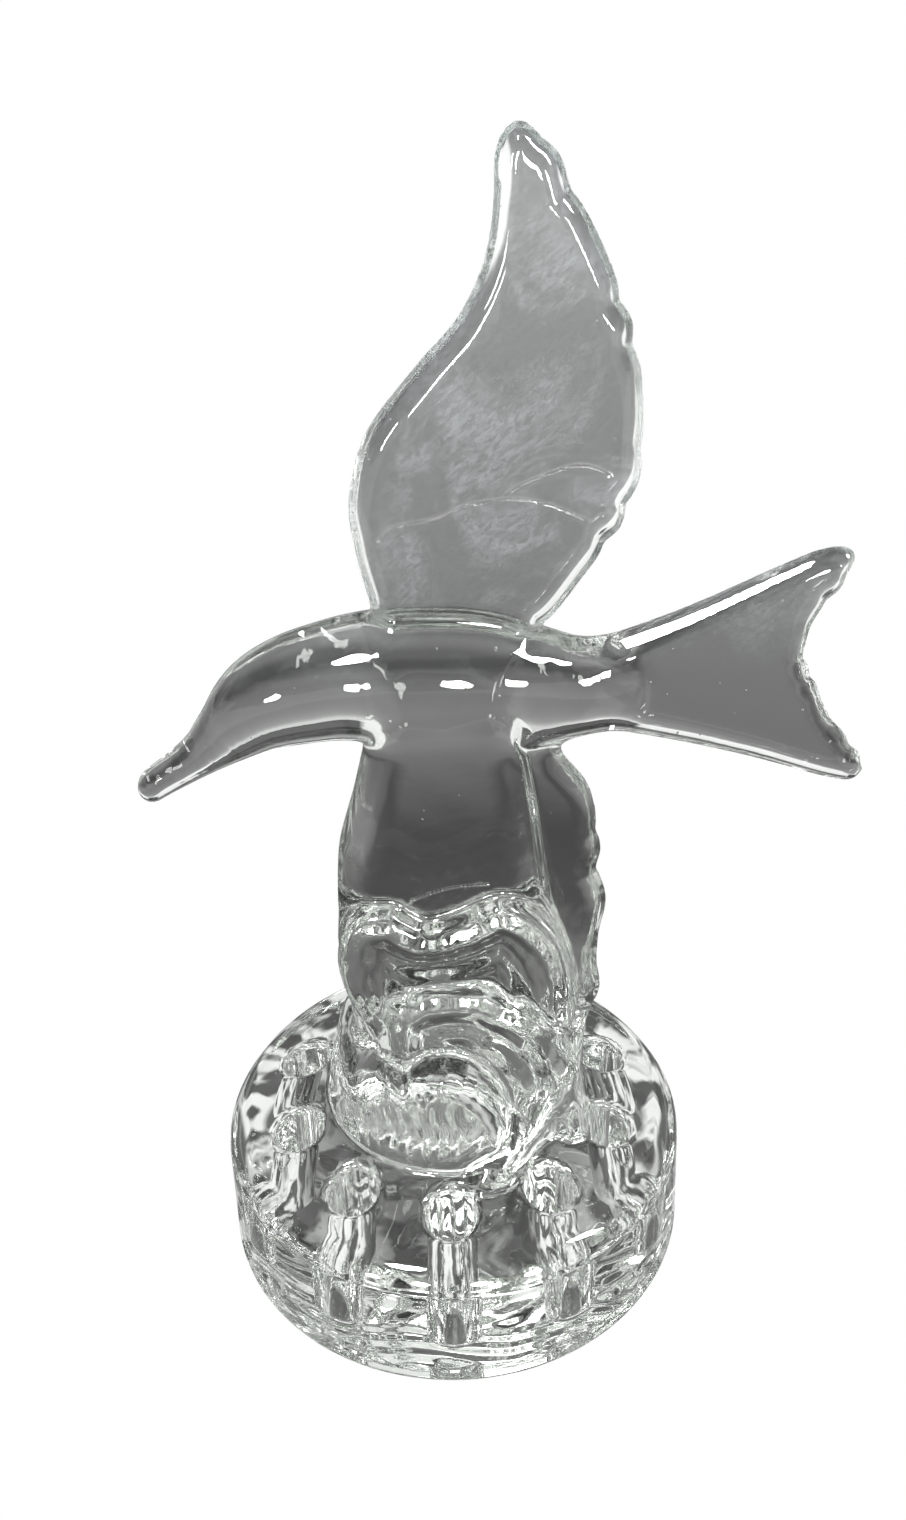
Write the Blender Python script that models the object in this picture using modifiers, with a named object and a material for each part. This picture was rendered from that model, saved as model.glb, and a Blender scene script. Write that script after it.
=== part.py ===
"""A pressed-glass flower frog: a gull banking on one wing over stacked waves, cast in one with a round
block that has a ring of blind stem holes. Metres, +Z up. The origin is the centre of the block's underside.
The bird faces -X, and its wings and tail lie in the XZ plane, as the two halves of the mould left them."""

import math

import bmesh
import bpy
from mathutils import Vector

NAME = "flower_frog"

# The block: a thick disc whose top is a low dome
BLOCK_RADIUS = 0.050
SEAM_HEIGHT = 0.0270  # the mould's joint, where the side wall ends and the rounded rim starts
RIM_ROUND = 0.0045
CROWN_SLOPE = math.radians(18)  # of the top, up from the rim to the figure
WALL_DRAFT = 0.0006  # how much wider the foot is than the rim
FOOT_CHAMFER = 0.0012
BLOCK_SIDES = 60
RIM_STEPS = 5

# The stem holes, blind and slightly narrower at the bottom
HOLE_COUNT = 10
HOLE_RADIUS = 0.00525
HOLE_DRAFT = 0.0003  # how much smaller the radius is at the bottom
HOLE_FLOOR = 0.004  # glass left under each hole
HOLE_CLEARANCE = 0.0025  # glass between a hole and the boss
HOLE_TURN = math.radians(-92)
HOLE_SIDES = 20
HOLE_CUTTER_PROUD = 0.0050  # how far a cutter reaches over the top beside its hole

# The boss, the lowest wave: a crest running front to back, cut to a round drum
BOSS_RADIUS = 0.027
BOSS_HEIGHT = 0.0635
BOSS_ROLL_REACH = 0.006  # the rolled shoulder of the drum, inwards
BOSS_ROLL_DROP = 0.0045  # and downwards
BOSS_ROLL_STEPS = 4
BOSS_CREST = (
    (-1.08, 0.45),
    (-0.94, 0.80),
    (-0.74, 0.865),
    (-0.52, 0.945),
    (-0.36, 0.93),
    (-0.28, 0.965),
    (-0.08, 1.00),
    (0.11, 0.975),
    (0.27, 0.905),
    (0.38, 0.82),
    (0.45, 0.72),
    (0.54, 0.65),
    (0.63, 0.68),
    (0.72, 0.755),
    (0.85, 0.82),
    (0.96, 0.89),
    (1.08, 0.97),
    (1.08, 0.45),
)  # x as a share of BOSS_RADIUS, and height as a share of BOSS_HEIGHT
FIGURE_SINK = 0.010  # how far the figure's forms start inside the block

# The two waves above it: crests of x and height above the block, as shares of the wave's half width and height
WAVE_HALF_WIDTH = 0.0250
WAVE_EDGE_ROUND = 0.0040
MIDDLE_WAVE_HEIGHT = 0.0790
MIDDLE_WAVE_DEPTH = 0.0350
MIDDLE_CREST = (
    (-0.52, 0.00),
    (-0.56, 0.40),
    (-0.52, 0.85),
    (-0.36, 0.955),
    (-0.10, 1.00),
    (0.27, 0.99),
    (0.50, 0.92),
    (0.76, 0.82),
    (0.98, 0.62),
    (1.08, 0.40),
    (1.06, 0.00),
)
UPPER_WAVE_HEIGHT = 0.0975
UPPER_WAVE_DEPTH = 0.0290
UPPER_CREST = (
    (-0.50, 0.45),
    (-0.66, 0.545),
    (-0.80, 0.64),
    (-0.875, 0.80),
    (-0.76, 0.95),
    (-0.44, 0.985),
    (-0.16, 0.925),
    (0.12, 0.95),
    (0.44, 1.00),
    (0.68, 0.955),
    (0.90, 0.84),
    (1.02, 0.66),
    (0.96, 0.50),
    (0.20, 0.42),
)

# The curling edge of the waves: a rib from the lower wing's tip, round the boss and down to its foot
RIB_RADIUS = 0.0024
RIB_END_SHARE = 0.7  # of its radius that is left at both ends
RIB_PATH = (
    (1.04, -0.08, 0.945),
    (0.93, -0.33, 0.875),
    (0.81, -0.52, 0.800),
    (0.69, -0.68, 0.745),
    (0.57, -0.80, 0.680),
    (0.43, -0.90, 0.625),
    (0.24, -1.03, 0.580),
)  # x and y as shares of BOSS_RADIUS, and height as a share of BOSS_HEIGHT

# The column of water that carries the bird, from the block to the body
COLUMN_DEPTH = 0.0200
COLUMN_EDGE_ROUND = 0.0085
COLUMN_HALF_WIDTH = 0.0220
COLUMN_LEFT = (
    (0.93, 0.00),
    (0.93, 0.16),
    (0.96, 0.36),
    (0.99, 0.51),
    (0.94, 0.66),
    (0.77, 0.78),
    (0.63, 0.89),
    (0.54, 0.99),
)  # half width on the left, and height from the block to the body's axis, as shares
COLUMN_RIGHT = (
    (0.66, 0.99),
    (0.76, 0.87),
    (0.85, 0.75),
    (0.92, 0.63),
    (1.00, 0.50),
    (1.09, 0.36),
    (1.14, 0.20),
    (1.16, 0.00),
)

# The bird's body: a round spindle from the beak's tip to the root of the tail
BODY_AXIS_HEIGHT = 0.1433
BODY_RADIUS = 0.0128
BODY_DEPTH_SHARE = 0.94  # a little flatter front to back
BEAK_REACH = 0.0570  # from the origin's plane to the beak's last ring
BODY_SIDES = 24
BODY_RINGS = (
    (-1.012, -1.89, 0.12),
    (-0.998, -1.85, 0.22),
    (-0.955, -1.71, 0.26),
    (-0.870, -1.46, 0.29),
    (-0.780, -1.17, 0.36),
    (-0.690, -0.82, 0.50),
    (-0.580, -0.40, 0.70),
    (-0.470, -0.18, 0.82),
    (-0.330, -0.04, 0.90),
    (-0.180, 0.01, 0.98),
    (0.000, 0.00, 1.00),
    (0.150, -0.04, 0.95),
    (0.270, -0.15, 0.83),
    (0.370, -0.27, 0.70),
    (0.470, -0.33, 0.56),
    (0.560, -0.34, 0.38),
)  # x as a share of BEAK_REACH, then height off the axis and radius as shares of BODY_RADIUS

# The raised wing, from its root inside the body to its tip
WING_SPAN = 0.0980
WING_THICKNESS = 0.0084
WING_EDGE_SHARE = 0.45  # of a wing's thickness, the radius of its edge
WING_TIP_THINNING = 0.30  # share of the thickness that is gone at the tip
WING_BOW = 0.0040  # how far the tip leans back
WING_LEADING = (
    (-0.090, 0.04),
    (-0.117, 0.16),
    (-0.138, 0.27),
    (-0.142, 0.37),
    (-0.106, 0.49),
    (-0.016, 0.604),
    (0.062, 0.692),
    (0.108, 0.785),
    (0.124, 0.880),
    (0.128, 0.950),
    (0.143, 0.985),
    (0.172, 1.000),
)  # x and height above the body's axis, as shares of the span
WING_TRAILING = (
    (0.208, 0.972),
    (0.261, 0.878),
    (0.313, 0.768),
    (0.354, 0.648),
    (0.376, 0.528),
    (0.377, 0.416),
    (0.341, 0.306),
    (0.277, 0.206),
    (0.200, 0.100),
    (0.140, 0.02),
)
WING_FEATHERS = 8
FEATHER_DEPTH = 0.0011

# The lowered wing, a thin blade that the column swallows on its leading side
LOW_WING_SPAN = 0.0900
LOW_WING_THICKNESS = 0.0076
LOW_WING_LEADING = (
    (0.165, 0.06),
    (0.245, 0.19),
    (0.312, 0.30),
    (0.340, 0.41),
    (0.342, 0.51),
    (0.358, 0.61),
    (0.352, 0.71),
    (0.348, 0.81),
    (0.345, 0.92),
)  # x and depth below the body's axis, as shares of the span
LOW_WING_TRAILING = (
    (0.295, 1.03),
    (0.200, 1.10),
    (-0.120, 1.00),
    (-0.180, 0.70),
    (-0.150, 0.40),
    (-0.100, 0.08),
)
LOW_WING_FEATHERS = 5

# The forked tail
TAIL_LENGTH = 0.0690
TAIL_ROOT_X = 0.0140
TAIL_THICKNESS = 0.0090
TAIL_EDGE_SHARE = 0.3  # of the tail's thickness, the radius of its edge
TAIL_END_THINNING = 0.35
TAIL_TOP = (
    (0.00, 0.045),
    (0.10, 0.075),
    (0.20, 0.080),
    (0.35, 0.128),
    (0.49, 0.184),
    (0.61, 0.240),
    (0.72, 0.293),
    (0.81, 0.330),
    (0.875, 0.336),
    (0.905, 0.312),
)  # distance from the root and height off the body's axis, as shares of the tail's length
TAIL_END = (
    (0.885, 0.250),
    (0.830, 0.165),
    (0.792, 0.085),
    (0.792, 0.010),
    (0.826, -0.075),
    (0.870, -0.165),
    (0.935, -0.265),
    (0.990, -0.345),
)
TAIL_BOTTOM = (
    (0.992, -0.383),
    (0.955, -0.404),
    (0.880, -0.388),
    (0.68, -0.314),
    (0.53, -0.266),
    (0.36, -0.220),
    (0.24, -0.195),
    (0.10, -0.215),
    (0.00, -0.190),
)
TAIL_FEATHERS = 6
TAIL_FEATHER_DEPTH = 0.0008

ROUND_FIT = 0.8  # share of a narrow place that its edge rounding may take
OUTLINE_STEP = 0.0032  # length of a straight facet on a smooth outline
WELD = 0.00001


def clear_scene():
    """Removes what the file starts with."""
    for obj in list(bpy.data.objects):
        bpy.data.objects.remove(obj)


def new_collection(name):
    """A collection in the scene."""
    collection = bpy.data.collections.new(name)
    bpy.context.scene.collection.children.link(collection)
    return collection


def glass_material():
    """Clear lead-free pressed glass."""
    material = bpy.data.materials.new("clear_pressed_glass")
    material.use_nodes = True
    shader = material.node_tree.nodes["Principled BSDF"]
    shader.inputs["Base Color"].default_value = (0.93, 0.96, 0.95, 1.0)
    shader.inputs["Metallic"].default_value = 0.0
    shader.inputs["Roughness"].default_value = 0.03
    shader.inputs["IOR"].default_value = 1.52
    shader.inputs["Transmission Weight"].default_value = 1.0
    return material


def rounded(points, closed=True):
    """A smooth line through the points, as short facets: a Catmull-Rom spline. Gives (point, which span)."""
    points = [Vector(p) for p in points]
    count = len(points)
    line = []
    for i in range(count if closed else count - 1):
        if closed:
            before, start, end, after = (points[(i + k) % count] for k in (-1, 0, 1, 2))
        else:
            before, start, end, after = (points[min(max(i + k, 0), count - 1)] for k in (-1, 0, 1, 2))
        facets = max(1, round((end - start).length / OUTLINE_STEP))
        for k in range(facets):
            t = k / facets
            line.append(
                (
                    0.5
                    * (
                        2 * start
                        + (end - before) * t
                        + (2 * before - 5 * start + 4 * end - after) * t**2
                        + (3 * start - before - 3 * end + after) * t**3
                    ),
                    i,
                )
            )
    if not closed:
        line.append((points[-1], count - 1))
    return line


def inward(outline, index):
    """Unit vector into a clockwise outline at one of its points."""
    along = outline[(index + 1) % len(outline)] - outline[index - 1]
    return Vector((along.y, -along.x)).normalized()


def room(outline, index):
    """Radius of the largest circle inside a clockwise outline that touches it at this point."""
    here, normal = outline[index], inward(outline, index)
    others = [place - here for place in outline]
    return min(way.length_squared / (2 * normal.dot(way)) for way in others if normal.dot(way) > WELD)


def feathered(points, first, last, feathers, depth):
    """A closed smooth outline whose edge between two of its points swells into feather tips."""
    line = rounded(points)
    smooth = [point for point, _ in line]
    outline = list(smooth)
    edge = [k for k, (_, span) in enumerate(line) if first <= span < last]
    for order, k in enumerate(edge):
        swell = 0.5 - 0.5 * math.cos(2 * math.pi * feathers * order / len(edge))
        outline[k] = smooth[k] - inward(smooth, k) * depth * swell
    return outline


def add_mesh_object(collection, name, mesh):
    """A mesh as a named object."""
    obj = bpy.data.objects.new(name, mesh)
    collection.objects.link(obj)
    return obj


def as_mesh(obj, collection):
    """The curve as a welded mesh object in world space. The curve is removed."""
    graph = bpy.context.evaluated_depsgraph_get()
    mesh = bpy.data.meshes.new_from_object(obj.evaluated_get(graph))
    mesh.transform(obj.matrix_world)
    name = obj.name
    bpy.data.objects.remove(obj)
    work = bmesh.new()
    work.from_mesh(mesh)
    bmesh.ops.remove_doubles(work, verts=work.verts, dist=WELD)
    bmesh.ops.recalc_face_normals(work, faces=work.faces)
    work.to_mesh(mesh)
    work.free()
    return add_mesh_object(collection, name, mesh)


def plate(collection, name, outline, depth, edge_round):
    """A flat form that stands in the XZ plane, centred on it. Its rounded edge shrinks where it is narrow."""
    curve = bpy.data.curves.new(name, "CURVE")
    curve.dimensions = "2D"
    curve.fill_mode = "BOTH"
    curve.extrude = depth / 2 - edge_round
    curve.bevel_depth = edge_round
    curve.bevel_resolution = 2
    curve.offset = -edge_round
    spline = curve.splines.new("POLY")
    spline.points.add(len(outline) - 1)
    for index, (point, place) in enumerate(zip(spline.points, outline)):
        point.co = (place[0], place[1], 0.0, 1.0)
        point.radius = min(1.0, ROUND_FIT * room(outline, index) / edge_round)
    spline.use_cyclic_u = True
    obj = bpy.data.objects.new(name, curve)
    obj.rotation_euler = (math.pi / 2, 0.0, 0.0)
    collection.objects.link(obj)
    bpy.context.view_layer.update()
    return as_mesh(obj, collection)


def turned(collection, name, profile, sides):
    """A solid of revolution about Z from a profile that starts and ends on the axis, top first."""
    work = bmesh.new()
    places = [work.verts.new((radius, 0.0, height)) for radius, height in profile]
    for start, end in zip(places, places[1:]):
        work.edges.new((start, end))
    mesh = bpy.data.meshes.new(name)
    work.to_mesh(mesh)
    work.free()
    obj = add_mesh_object(collection, name, mesh)
    screw = obj.modifiers.new("turn", "SCREW")
    screw.steps = screw.render_steps = sides
    screw.use_merge_vertices = True
    screw.merge_threshold = WELD
    return obj


def crown_height(radius):
    """Height of the block's conical top over its underside, at this distance from the axis."""
    rim_radius = BLOCK_RADIUS - RIM_ROUND * (1 - math.sin(CROWN_SLOPE))
    rim_height = SEAM_HEIGHT + RIM_ROUND * math.cos(CROWN_SLOPE)
    return rim_height + (rim_radius - radius) * math.tan(CROWN_SLOPE)


def figure_bottom():
    """Height at which the waves and the column start, inside the block."""
    return crown_height(BOSS_RADIUS) - FIGURE_SINK


def make_block(collection):
    """The thick disc with its conical top and rounded rim."""
    profile = [(0.0, crown_height(BOSS_RADIUS)), (BOSS_RADIUS, crown_height(BOSS_RADIUS))]
    for k in range(RIM_STEPS + 1):
        turn = (math.pi / 2 - CROWN_SLOPE) * (1 - k / RIM_STEPS)
        profile.append(
            (BLOCK_RADIUS - RIM_ROUND * (1 - math.cos(turn)), SEAM_HEIGHT + RIM_ROUND * math.sin(turn))
        )
    foot_radius = BLOCK_RADIUS + WALL_DRAFT
    profile += [(foot_radius, FOOT_CHAMFER), (foot_radius - FOOT_CHAMFER, 0.0), (0.0, 0.0)]
    return turned(collection, NAME, profile, BLOCK_SIDES)


def hole_ring_radius():
    """Distance of the holes' axes from the block's axis."""
    return BOSS_RADIUS + HOLE_CLEARANCE + HOLE_RADIUS


def make_hole_cutter(collection, index):
    """One tapered cutter, standing on the hole's floor and reaching past the block's top."""
    top = crown_height(BOSS_RADIUS) + HOLE_CUTTER_PROUD
    turn = HOLE_TURN + 2 * math.pi * index / HOLE_COUNT
    bpy.ops.mesh.primitive_cone_add(
        vertices=HOLE_SIDES,
        radius1=HOLE_RADIUS - HOLE_DRAFT,
        radius2=HOLE_RADIUS,
        depth=top - HOLE_FLOOR,
        location=(
            hole_ring_radius() * math.cos(turn),
            hole_ring_radius() * math.sin(turn),
            (top + HOLE_FLOOR) / 2,
        ),
        rotation=(0.0, 0.0, turn),
    )
    cutter = bpy.context.object
    cutter.name = f"hole_cutter_{index + 1}"
    cutter.hide_render = True
    cutter.display_type = "WIRE"
    for owner in list(cutter.users_collection):
        owner.objects.unlink(cutter)
    collection.objects.link(cutter)
    return cutter


def make_boss(collection):
    """The lowest wave: its crest runs front to back, and a drum trims it round."""
    points = [(x * BOSS_RADIUS, share * BOSS_HEIGHT) for x, share in BOSS_CREST]
    outline = [point for point, _ in rounded(points)]
    boss = plate(collection, "boss", outline, 2 * (BOSS_RADIUS + WAVE_EDGE_ROUND), WAVE_EDGE_ROUND / 2)
    top = BOSS_HEIGHT + WELD
    profile = [(0.0, top)]
    for k in range(BOSS_ROLL_STEPS + 1):
        turn = math.pi / 2 * (1 - k / BOSS_ROLL_STEPS)
        profile.append(
            (
                BOSS_RADIUS - BOSS_ROLL_REACH * (1 - math.cos(turn)),
                top - BOSS_ROLL_DROP * (1 - math.sin(turn)),
            )
        )
    profile += [(BOSS_RADIUS, figure_bottom()), (0.0, figure_bottom())]
    drum = turned(collection, "boss_drum", profile, BLOCK_SIDES)
    drum.hide_render = True
    drum.display_type = "WIRE"
    combine(boss, drum, "INTERSECT")
    return boss


def make_wave(collection, name, crest, height, depth):
    """One of the upper waves, a rounded slab with a rolling crest."""
    points = [
        (x * WAVE_HALF_WIDTH, figure_bottom() + share * (height - figure_bottom())) for x, share in crest
    ]
    outline = [point for point, _ in rounded(points)]
    return plate(collection, name, outline, depth, WAVE_EDGE_ROUND)


def tube(collection, name, rings, sides):
    """A round form along a line of (place, radius), closed at both ends."""
    curve = bpy.data.curves.new(name, "CURVE")
    curve.dimensions = "3D"
    curve.bevel_depth = 1.0
    curve.bevel_resolution = sides // 2 - 2
    curve.use_fill_caps = True
    spline = curve.splines.new("POLY")
    spline.points.add(len(rings) - 1)
    for point, (place, radius) in zip(spline.points, rings):
        point.co = (*place, 1.0)
        point.radius = radius
    obj = bpy.data.objects.new(name, curve)
    collection.objects.link(obj)
    bpy.context.view_layer.update()
    return as_mesh(obj, collection)


def make_rib(collection):
    """The curling edge of the waves."""
    places = [(x * BOSS_RADIUS, y * BOSS_RADIUS, z * BOSS_HEIGHT) for x, y, z in RIB_PATH]
    line = [place for place, _ in rounded(places, closed=False)]
    rings = []
    for k, place in enumerate(line):
        swell = math.sin(math.pi * k / (len(line) - 1))
        rings.append((place, RIB_RADIUS * (RIB_END_SHARE + (1 - RIB_END_SHARE) * swell)))
    return tube(collection, "rib", rings, BODY_SIDES // 2)


def make_column(collection):
    """The column of water between the block and the body."""
    rise = BODY_AXIS_HEIGHT - figure_bottom()
    left = [(-x * COLUMN_HALF_WIDTH, figure_bottom() + share * rise) for x, share in COLUMN_LEFT]
    right = [(x * COLUMN_HALF_WIDTH, figure_bottom() + share * rise) for x, share in COLUMN_RIGHT]
    outline = [point for point, _ in rounded(left + right)]
    return plate(collection, "column", outline, COLUMN_DEPTH, COLUMN_EDGE_ROUND)


def make_body(collection):
    """The bird's body, from beak to tail root."""
    rings = [
        ((x * BEAK_REACH, 0.0, BODY_AXIS_HEIGHT + rise * BODY_RADIUS), radius * BODY_RADIUS)
        for x, rise, radius in BODY_RINGS
    ]
    body = tube(collection, "body", rings, BODY_SIDES)
    for vertex in body.data.vertices:
        vertex.co.y *= BODY_DEPTH_SHARE
    return body


def make_wing(collection):
    """The raised wing: thinner and leaning back towards its tip, with feather tips on its trailing edge."""
    points = [
        (x * WING_SPAN, BODY_AXIS_HEIGHT + rise * WING_SPAN) for x, rise in WING_LEADING + WING_TRAILING
    ]
    first = len(WING_LEADING)
    outline = feathered(points, first, len(points) - 1, WING_FEATHERS, FEATHER_DEPTH)
    wing = plate(collection, "raised_wing", outline, WING_THICKNESS, WING_THICKNESS * WING_EDGE_SHARE)
    for vertex in wing.data.vertices:
        out = max(0.0, (vertex.co.z - BODY_AXIS_HEIGHT) / WING_SPAN)
        vertex.co.y = vertex.co.y * (1 - WING_TIP_THINNING * out) + WING_BOW * out**2
    return wing


def make_low_wing(collection):
    """The lowered wing, whose trailing edge stands out of the column."""
    points = [
        (x * LOW_WING_SPAN, BODY_AXIS_HEIGHT - drop * LOW_WING_SPAN)
        for x, drop in LOW_WING_LEADING + LOW_WING_TRAILING
    ]
    last = len(LOW_WING_LEADING) - 1
    outline = feathered(points, 0, last, LOW_WING_FEATHERS, FEATHER_DEPTH)
    return plate(collection, "lowered_wing", outline, LOW_WING_THICKNESS, LOW_WING_THICKNESS * WING_EDGE_SHARE)


def make_tail(collection):
    """The forked tail, thinner towards its ragged end."""
    points = [
        (TAIL_ROOT_X + out * TAIL_LENGTH, BODY_AXIS_HEIGHT + rise * TAIL_LENGTH)
        for out, rise in TAIL_TOP + TAIL_END + TAIL_BOTTOM
    ]
    first = len(TAIL_TOP)
    outline = feathered(points, first, first + len(TAIL_END), TAIL_FEATHERS, TAIL_FEATHER_DEPTH)
    tail = plate(collection, "tail", outline, TAIL_THICKNESS, TAIL_THICKNESS * TAIL_EDGE_SHARE)
    for vertex in tail.data.vertices:
        out = max(0.0, (vertex.co.x - TAIL_ROOT_X) / TAIL_LENGTH)
        vertex.co.y *= 1 - TAIL_END_THINNING * out
    return tail


def combine(target, tool, operation):
    """Adds a Boolean to the target, hides the tool from the part."""
    tool.hide_render = True
    tool.display_type = "WIRE"
    boolean = target.modifiers.new(f"{operation.lower()}_{tool.name}", "BOOLEAN")
    boolean.operation = operation
    boolean.object = tool
    boolean.solver = "EXACT"


def main():
    clear_scene()
    part = new_collection(NAME)
    forms = new_collection("forms_and_cutters")
    block = make_block(part)
    for form in (
        make_boss(forms),
        make_wave(forms, "middle_wave", MIDDLE_CREST, MIDDLE_WAVE_HEIGHT, MIDDLE_WAVE_DEPTH),
        make_wave(forms, "upper_wave", UPPER_CREST, UPPER_WAVE_HEIGHT, UPPER_WAVE_DEPTH),
        make_rib(forms),
        make_column(forms),
        make_low_wing(forms),
        make_body(forms),
        make_wing(forms),
        make_tail(forms),
    ):
        combine(block, form, "UNION")
    for index in range(HOLE_COUNT):
        combine(block, make_hole_cutter(forms, index), "DIFFERENCE")
    block.data.materials.append(glass_material())


main()
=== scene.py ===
"""The looks of the pressed-glass flower frog: a gull that banks on one wing over stacked waves, pressed in
one with a round block of stem holes. It is modelled as one smooth solid from signed distances, with the
mould's seam, chill wrinkles and seeds in the glass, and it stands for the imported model's single node.
Metres, +Z up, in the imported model's frame. The bird faces -X."""

import math
from collections import namedtuple

import bmesh
import bpy
import numpy as np
from mathutils import Euler, Matrix, Vector


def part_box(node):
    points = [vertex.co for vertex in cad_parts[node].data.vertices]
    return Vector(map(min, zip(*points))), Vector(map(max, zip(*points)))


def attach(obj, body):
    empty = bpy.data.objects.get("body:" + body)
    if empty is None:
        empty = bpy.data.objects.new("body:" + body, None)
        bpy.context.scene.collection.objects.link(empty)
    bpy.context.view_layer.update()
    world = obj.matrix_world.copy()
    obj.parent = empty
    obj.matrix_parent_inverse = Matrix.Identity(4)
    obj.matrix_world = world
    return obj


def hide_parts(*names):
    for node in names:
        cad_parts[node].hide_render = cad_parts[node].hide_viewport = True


bl_info = {
    "name": "Pressed Glass Flower Frog",
    "version": (1, 0, 0),
    "blender": (4, 5, 0),
    "location": "View3D > Sidebar > Flower Frog",
    "description": "Makes a pressed-glass flower frog with a banking gull, on a pale studio floor",
    "category": "Add Mesh",
}

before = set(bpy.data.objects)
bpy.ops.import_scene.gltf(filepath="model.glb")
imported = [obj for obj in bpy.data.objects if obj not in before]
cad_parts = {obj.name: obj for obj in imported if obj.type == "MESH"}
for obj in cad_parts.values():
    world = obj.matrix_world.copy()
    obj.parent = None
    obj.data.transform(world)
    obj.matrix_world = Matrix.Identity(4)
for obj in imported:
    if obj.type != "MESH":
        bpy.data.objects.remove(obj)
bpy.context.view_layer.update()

NODE = "flower_frog"
NODE_LOW, NODE_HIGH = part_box(NODE)

# The block
WALL_DRAFT = 0.0006  # how much wider the foot is than the rim
FOOT_RADIUS = (NODE_HIGH[1] - NODE_LOW[1]) / 2
BLOCK_RADIUS = FOOT_RADIUS - WALL_DRAFT
SEAM_HEIGHT = 0.0270
RIM_ROUND = 0.0045
CROWN_SLOPE = math.radians(18)
FOOT_ROUND = 0.0021
UNDERSIDE_RIM = 0.0055  # width of the ground ring that it stands on
UNDERSIDE_FADE = 0.0030
UNDERSIDE_HOLLOW = 0.00030

# The stem holes
HOLE_COUNT = 10
HOLE_RADIUS = 0.00525
HOLE_DRAFT = 0.0003
HOLE_FLOOR = 0.004
HOLE_CLEARANCE = 0.0025
HOLE_TURN = math.radians(-92)
HOLE_FLOOR_ROUND = 0.0022
HOLE_FLUTES = 7  # streaks round a hole's wall
HOLE_FINE_FLUTES = 11
FINE_FLUTE_SHARE = 0.6
HOLE_MOUTH_ROUND = 0.0022

# The boss, the lowest wave
BOSS_RADIUS = 0.027
HOLE_RING = BOSS_RADIUS + HOLE_CLEARANCE + HOLE_RADIUS
BOSS_HEIGHT = 0.0635
BOSS_ROLL = 0.0045
BOSS_CREST = (
    (-1.08, 0.45), (-0.94, 0.80), (-0.74, 0.865), (-0.52, 0.945), (-0.36, 0.93), (-0.28, 0.965),
    (-0.08, 1.00), (0.11, 0.975), (0.27, 0.905), (0.38, 0.82), (0.45, 0.72), (0.54, 0.65),
    (0.63, 0.68), (0.72, 0.755), (0.85, 0.82), (0.96, 0.89), (1.08, 0.97), (1.08, 0.45),
)  # x as a share of BOSS_RADIUS, and height as a share of BOSS_HEIGHT
BOSS_GROOVE = ((-0.31, -1.04, 0.96), (-0.30, -1.07, 0.88), (-0.28, -1.09, 0.80))
BOSS_GROOVE_RADII = (0.0028, 0.0020, 0.0008)

# The two waves above it
WAVE_HALF_WIDTH = 0.0250
WAVE_EDGE_ROUND = 0.0042
WAVE_FOLDS = (0.00030, 0.0066)  # height and length of the folds that follow the crests
WAVE_FALL = 0.45  # slope of the crests behind the column's front face
MIDDLE_WAVE_HEIGHT = 0.0790
MIDDLE_WAVE_DEPTH = 0.0350
MIDDLE_CREST = (
    (-0.52, 0.00), (-0.56, 0.40), (-0.52, 0.85), (-0.36, 0.955), (-0.10, 1.00), (0.27, 0.99),
    (0.50, 0.92), (0.76, 0.82), (0.98, 0.62), (1.08, 0.40), (1.06, 0.00),
)  # x as a share of the half width, and height above the figure's bottom as a share of the wave's
UPPER_WAVE_HEIGHT = 0.0975
UPPER_WAVE_DEPTH = 0.0290
UPPER_CREST = (
    (-0.50, 0.45), (-0.66, 0.545), (-0.80, 0.64), (-0.875, 0.80), (-0.76, 0.95), (-0.44, 0.985),
    (-0.16, 0.925), (0.12, 0.95), (0.44, 1.00), (0.68, 0.955), (0.90, 0.84), (1.02, 0.66),
    (0.96, 0.50), (0.20, 0.42),
)

# The curling edge of the waves
RIB_RADIUS = 0.0024
RIB_END_SHARE = 0.7
RIB_PATH = (
    (1.04, -0.08, 0.945), (0.93, -0.33, 0.875), (0.81, -0.52, 0.800), (0.69, -0.68, 0.745),
    (0.57, -0.80, 0.680), (0.43, -0.90, 0.625), (0.24, -1.03, 0.580),
)  # x and y as shares of BOSS_RADIUS, and height as a share of BOSS_HEIGHT

# The column
COLUMN_DEPTH = 0.0200
COLUMN_EDGE_ROUND = 0.0024
COLUMN_BEVEL = (0.55, 0.75)  # how far in and down, as shares of half the depth
COLUMN_HALF_WIDTH = 0.0220
COLUMN_LEFT = (
    (0.93, 0.00), (0.93, 0.16), (0.96, 0.36), (0.99, 0.51), (0.94, 0.66), (0.77, 0.78),
    (0.63, 0.89), (0.54, 0.99),
)
COLUMN_RIGHT = (
    (0.66, 0.99), (0.76, 0.87), (0.85, 0.75), (0.92, 0.63), (1.00, 0.50), (1.09, 0.36),
    (1.14, 0.20), (1.16, 0.00),
)  # half width, and height from the figure's bottom to the body's axis, as shares

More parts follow.
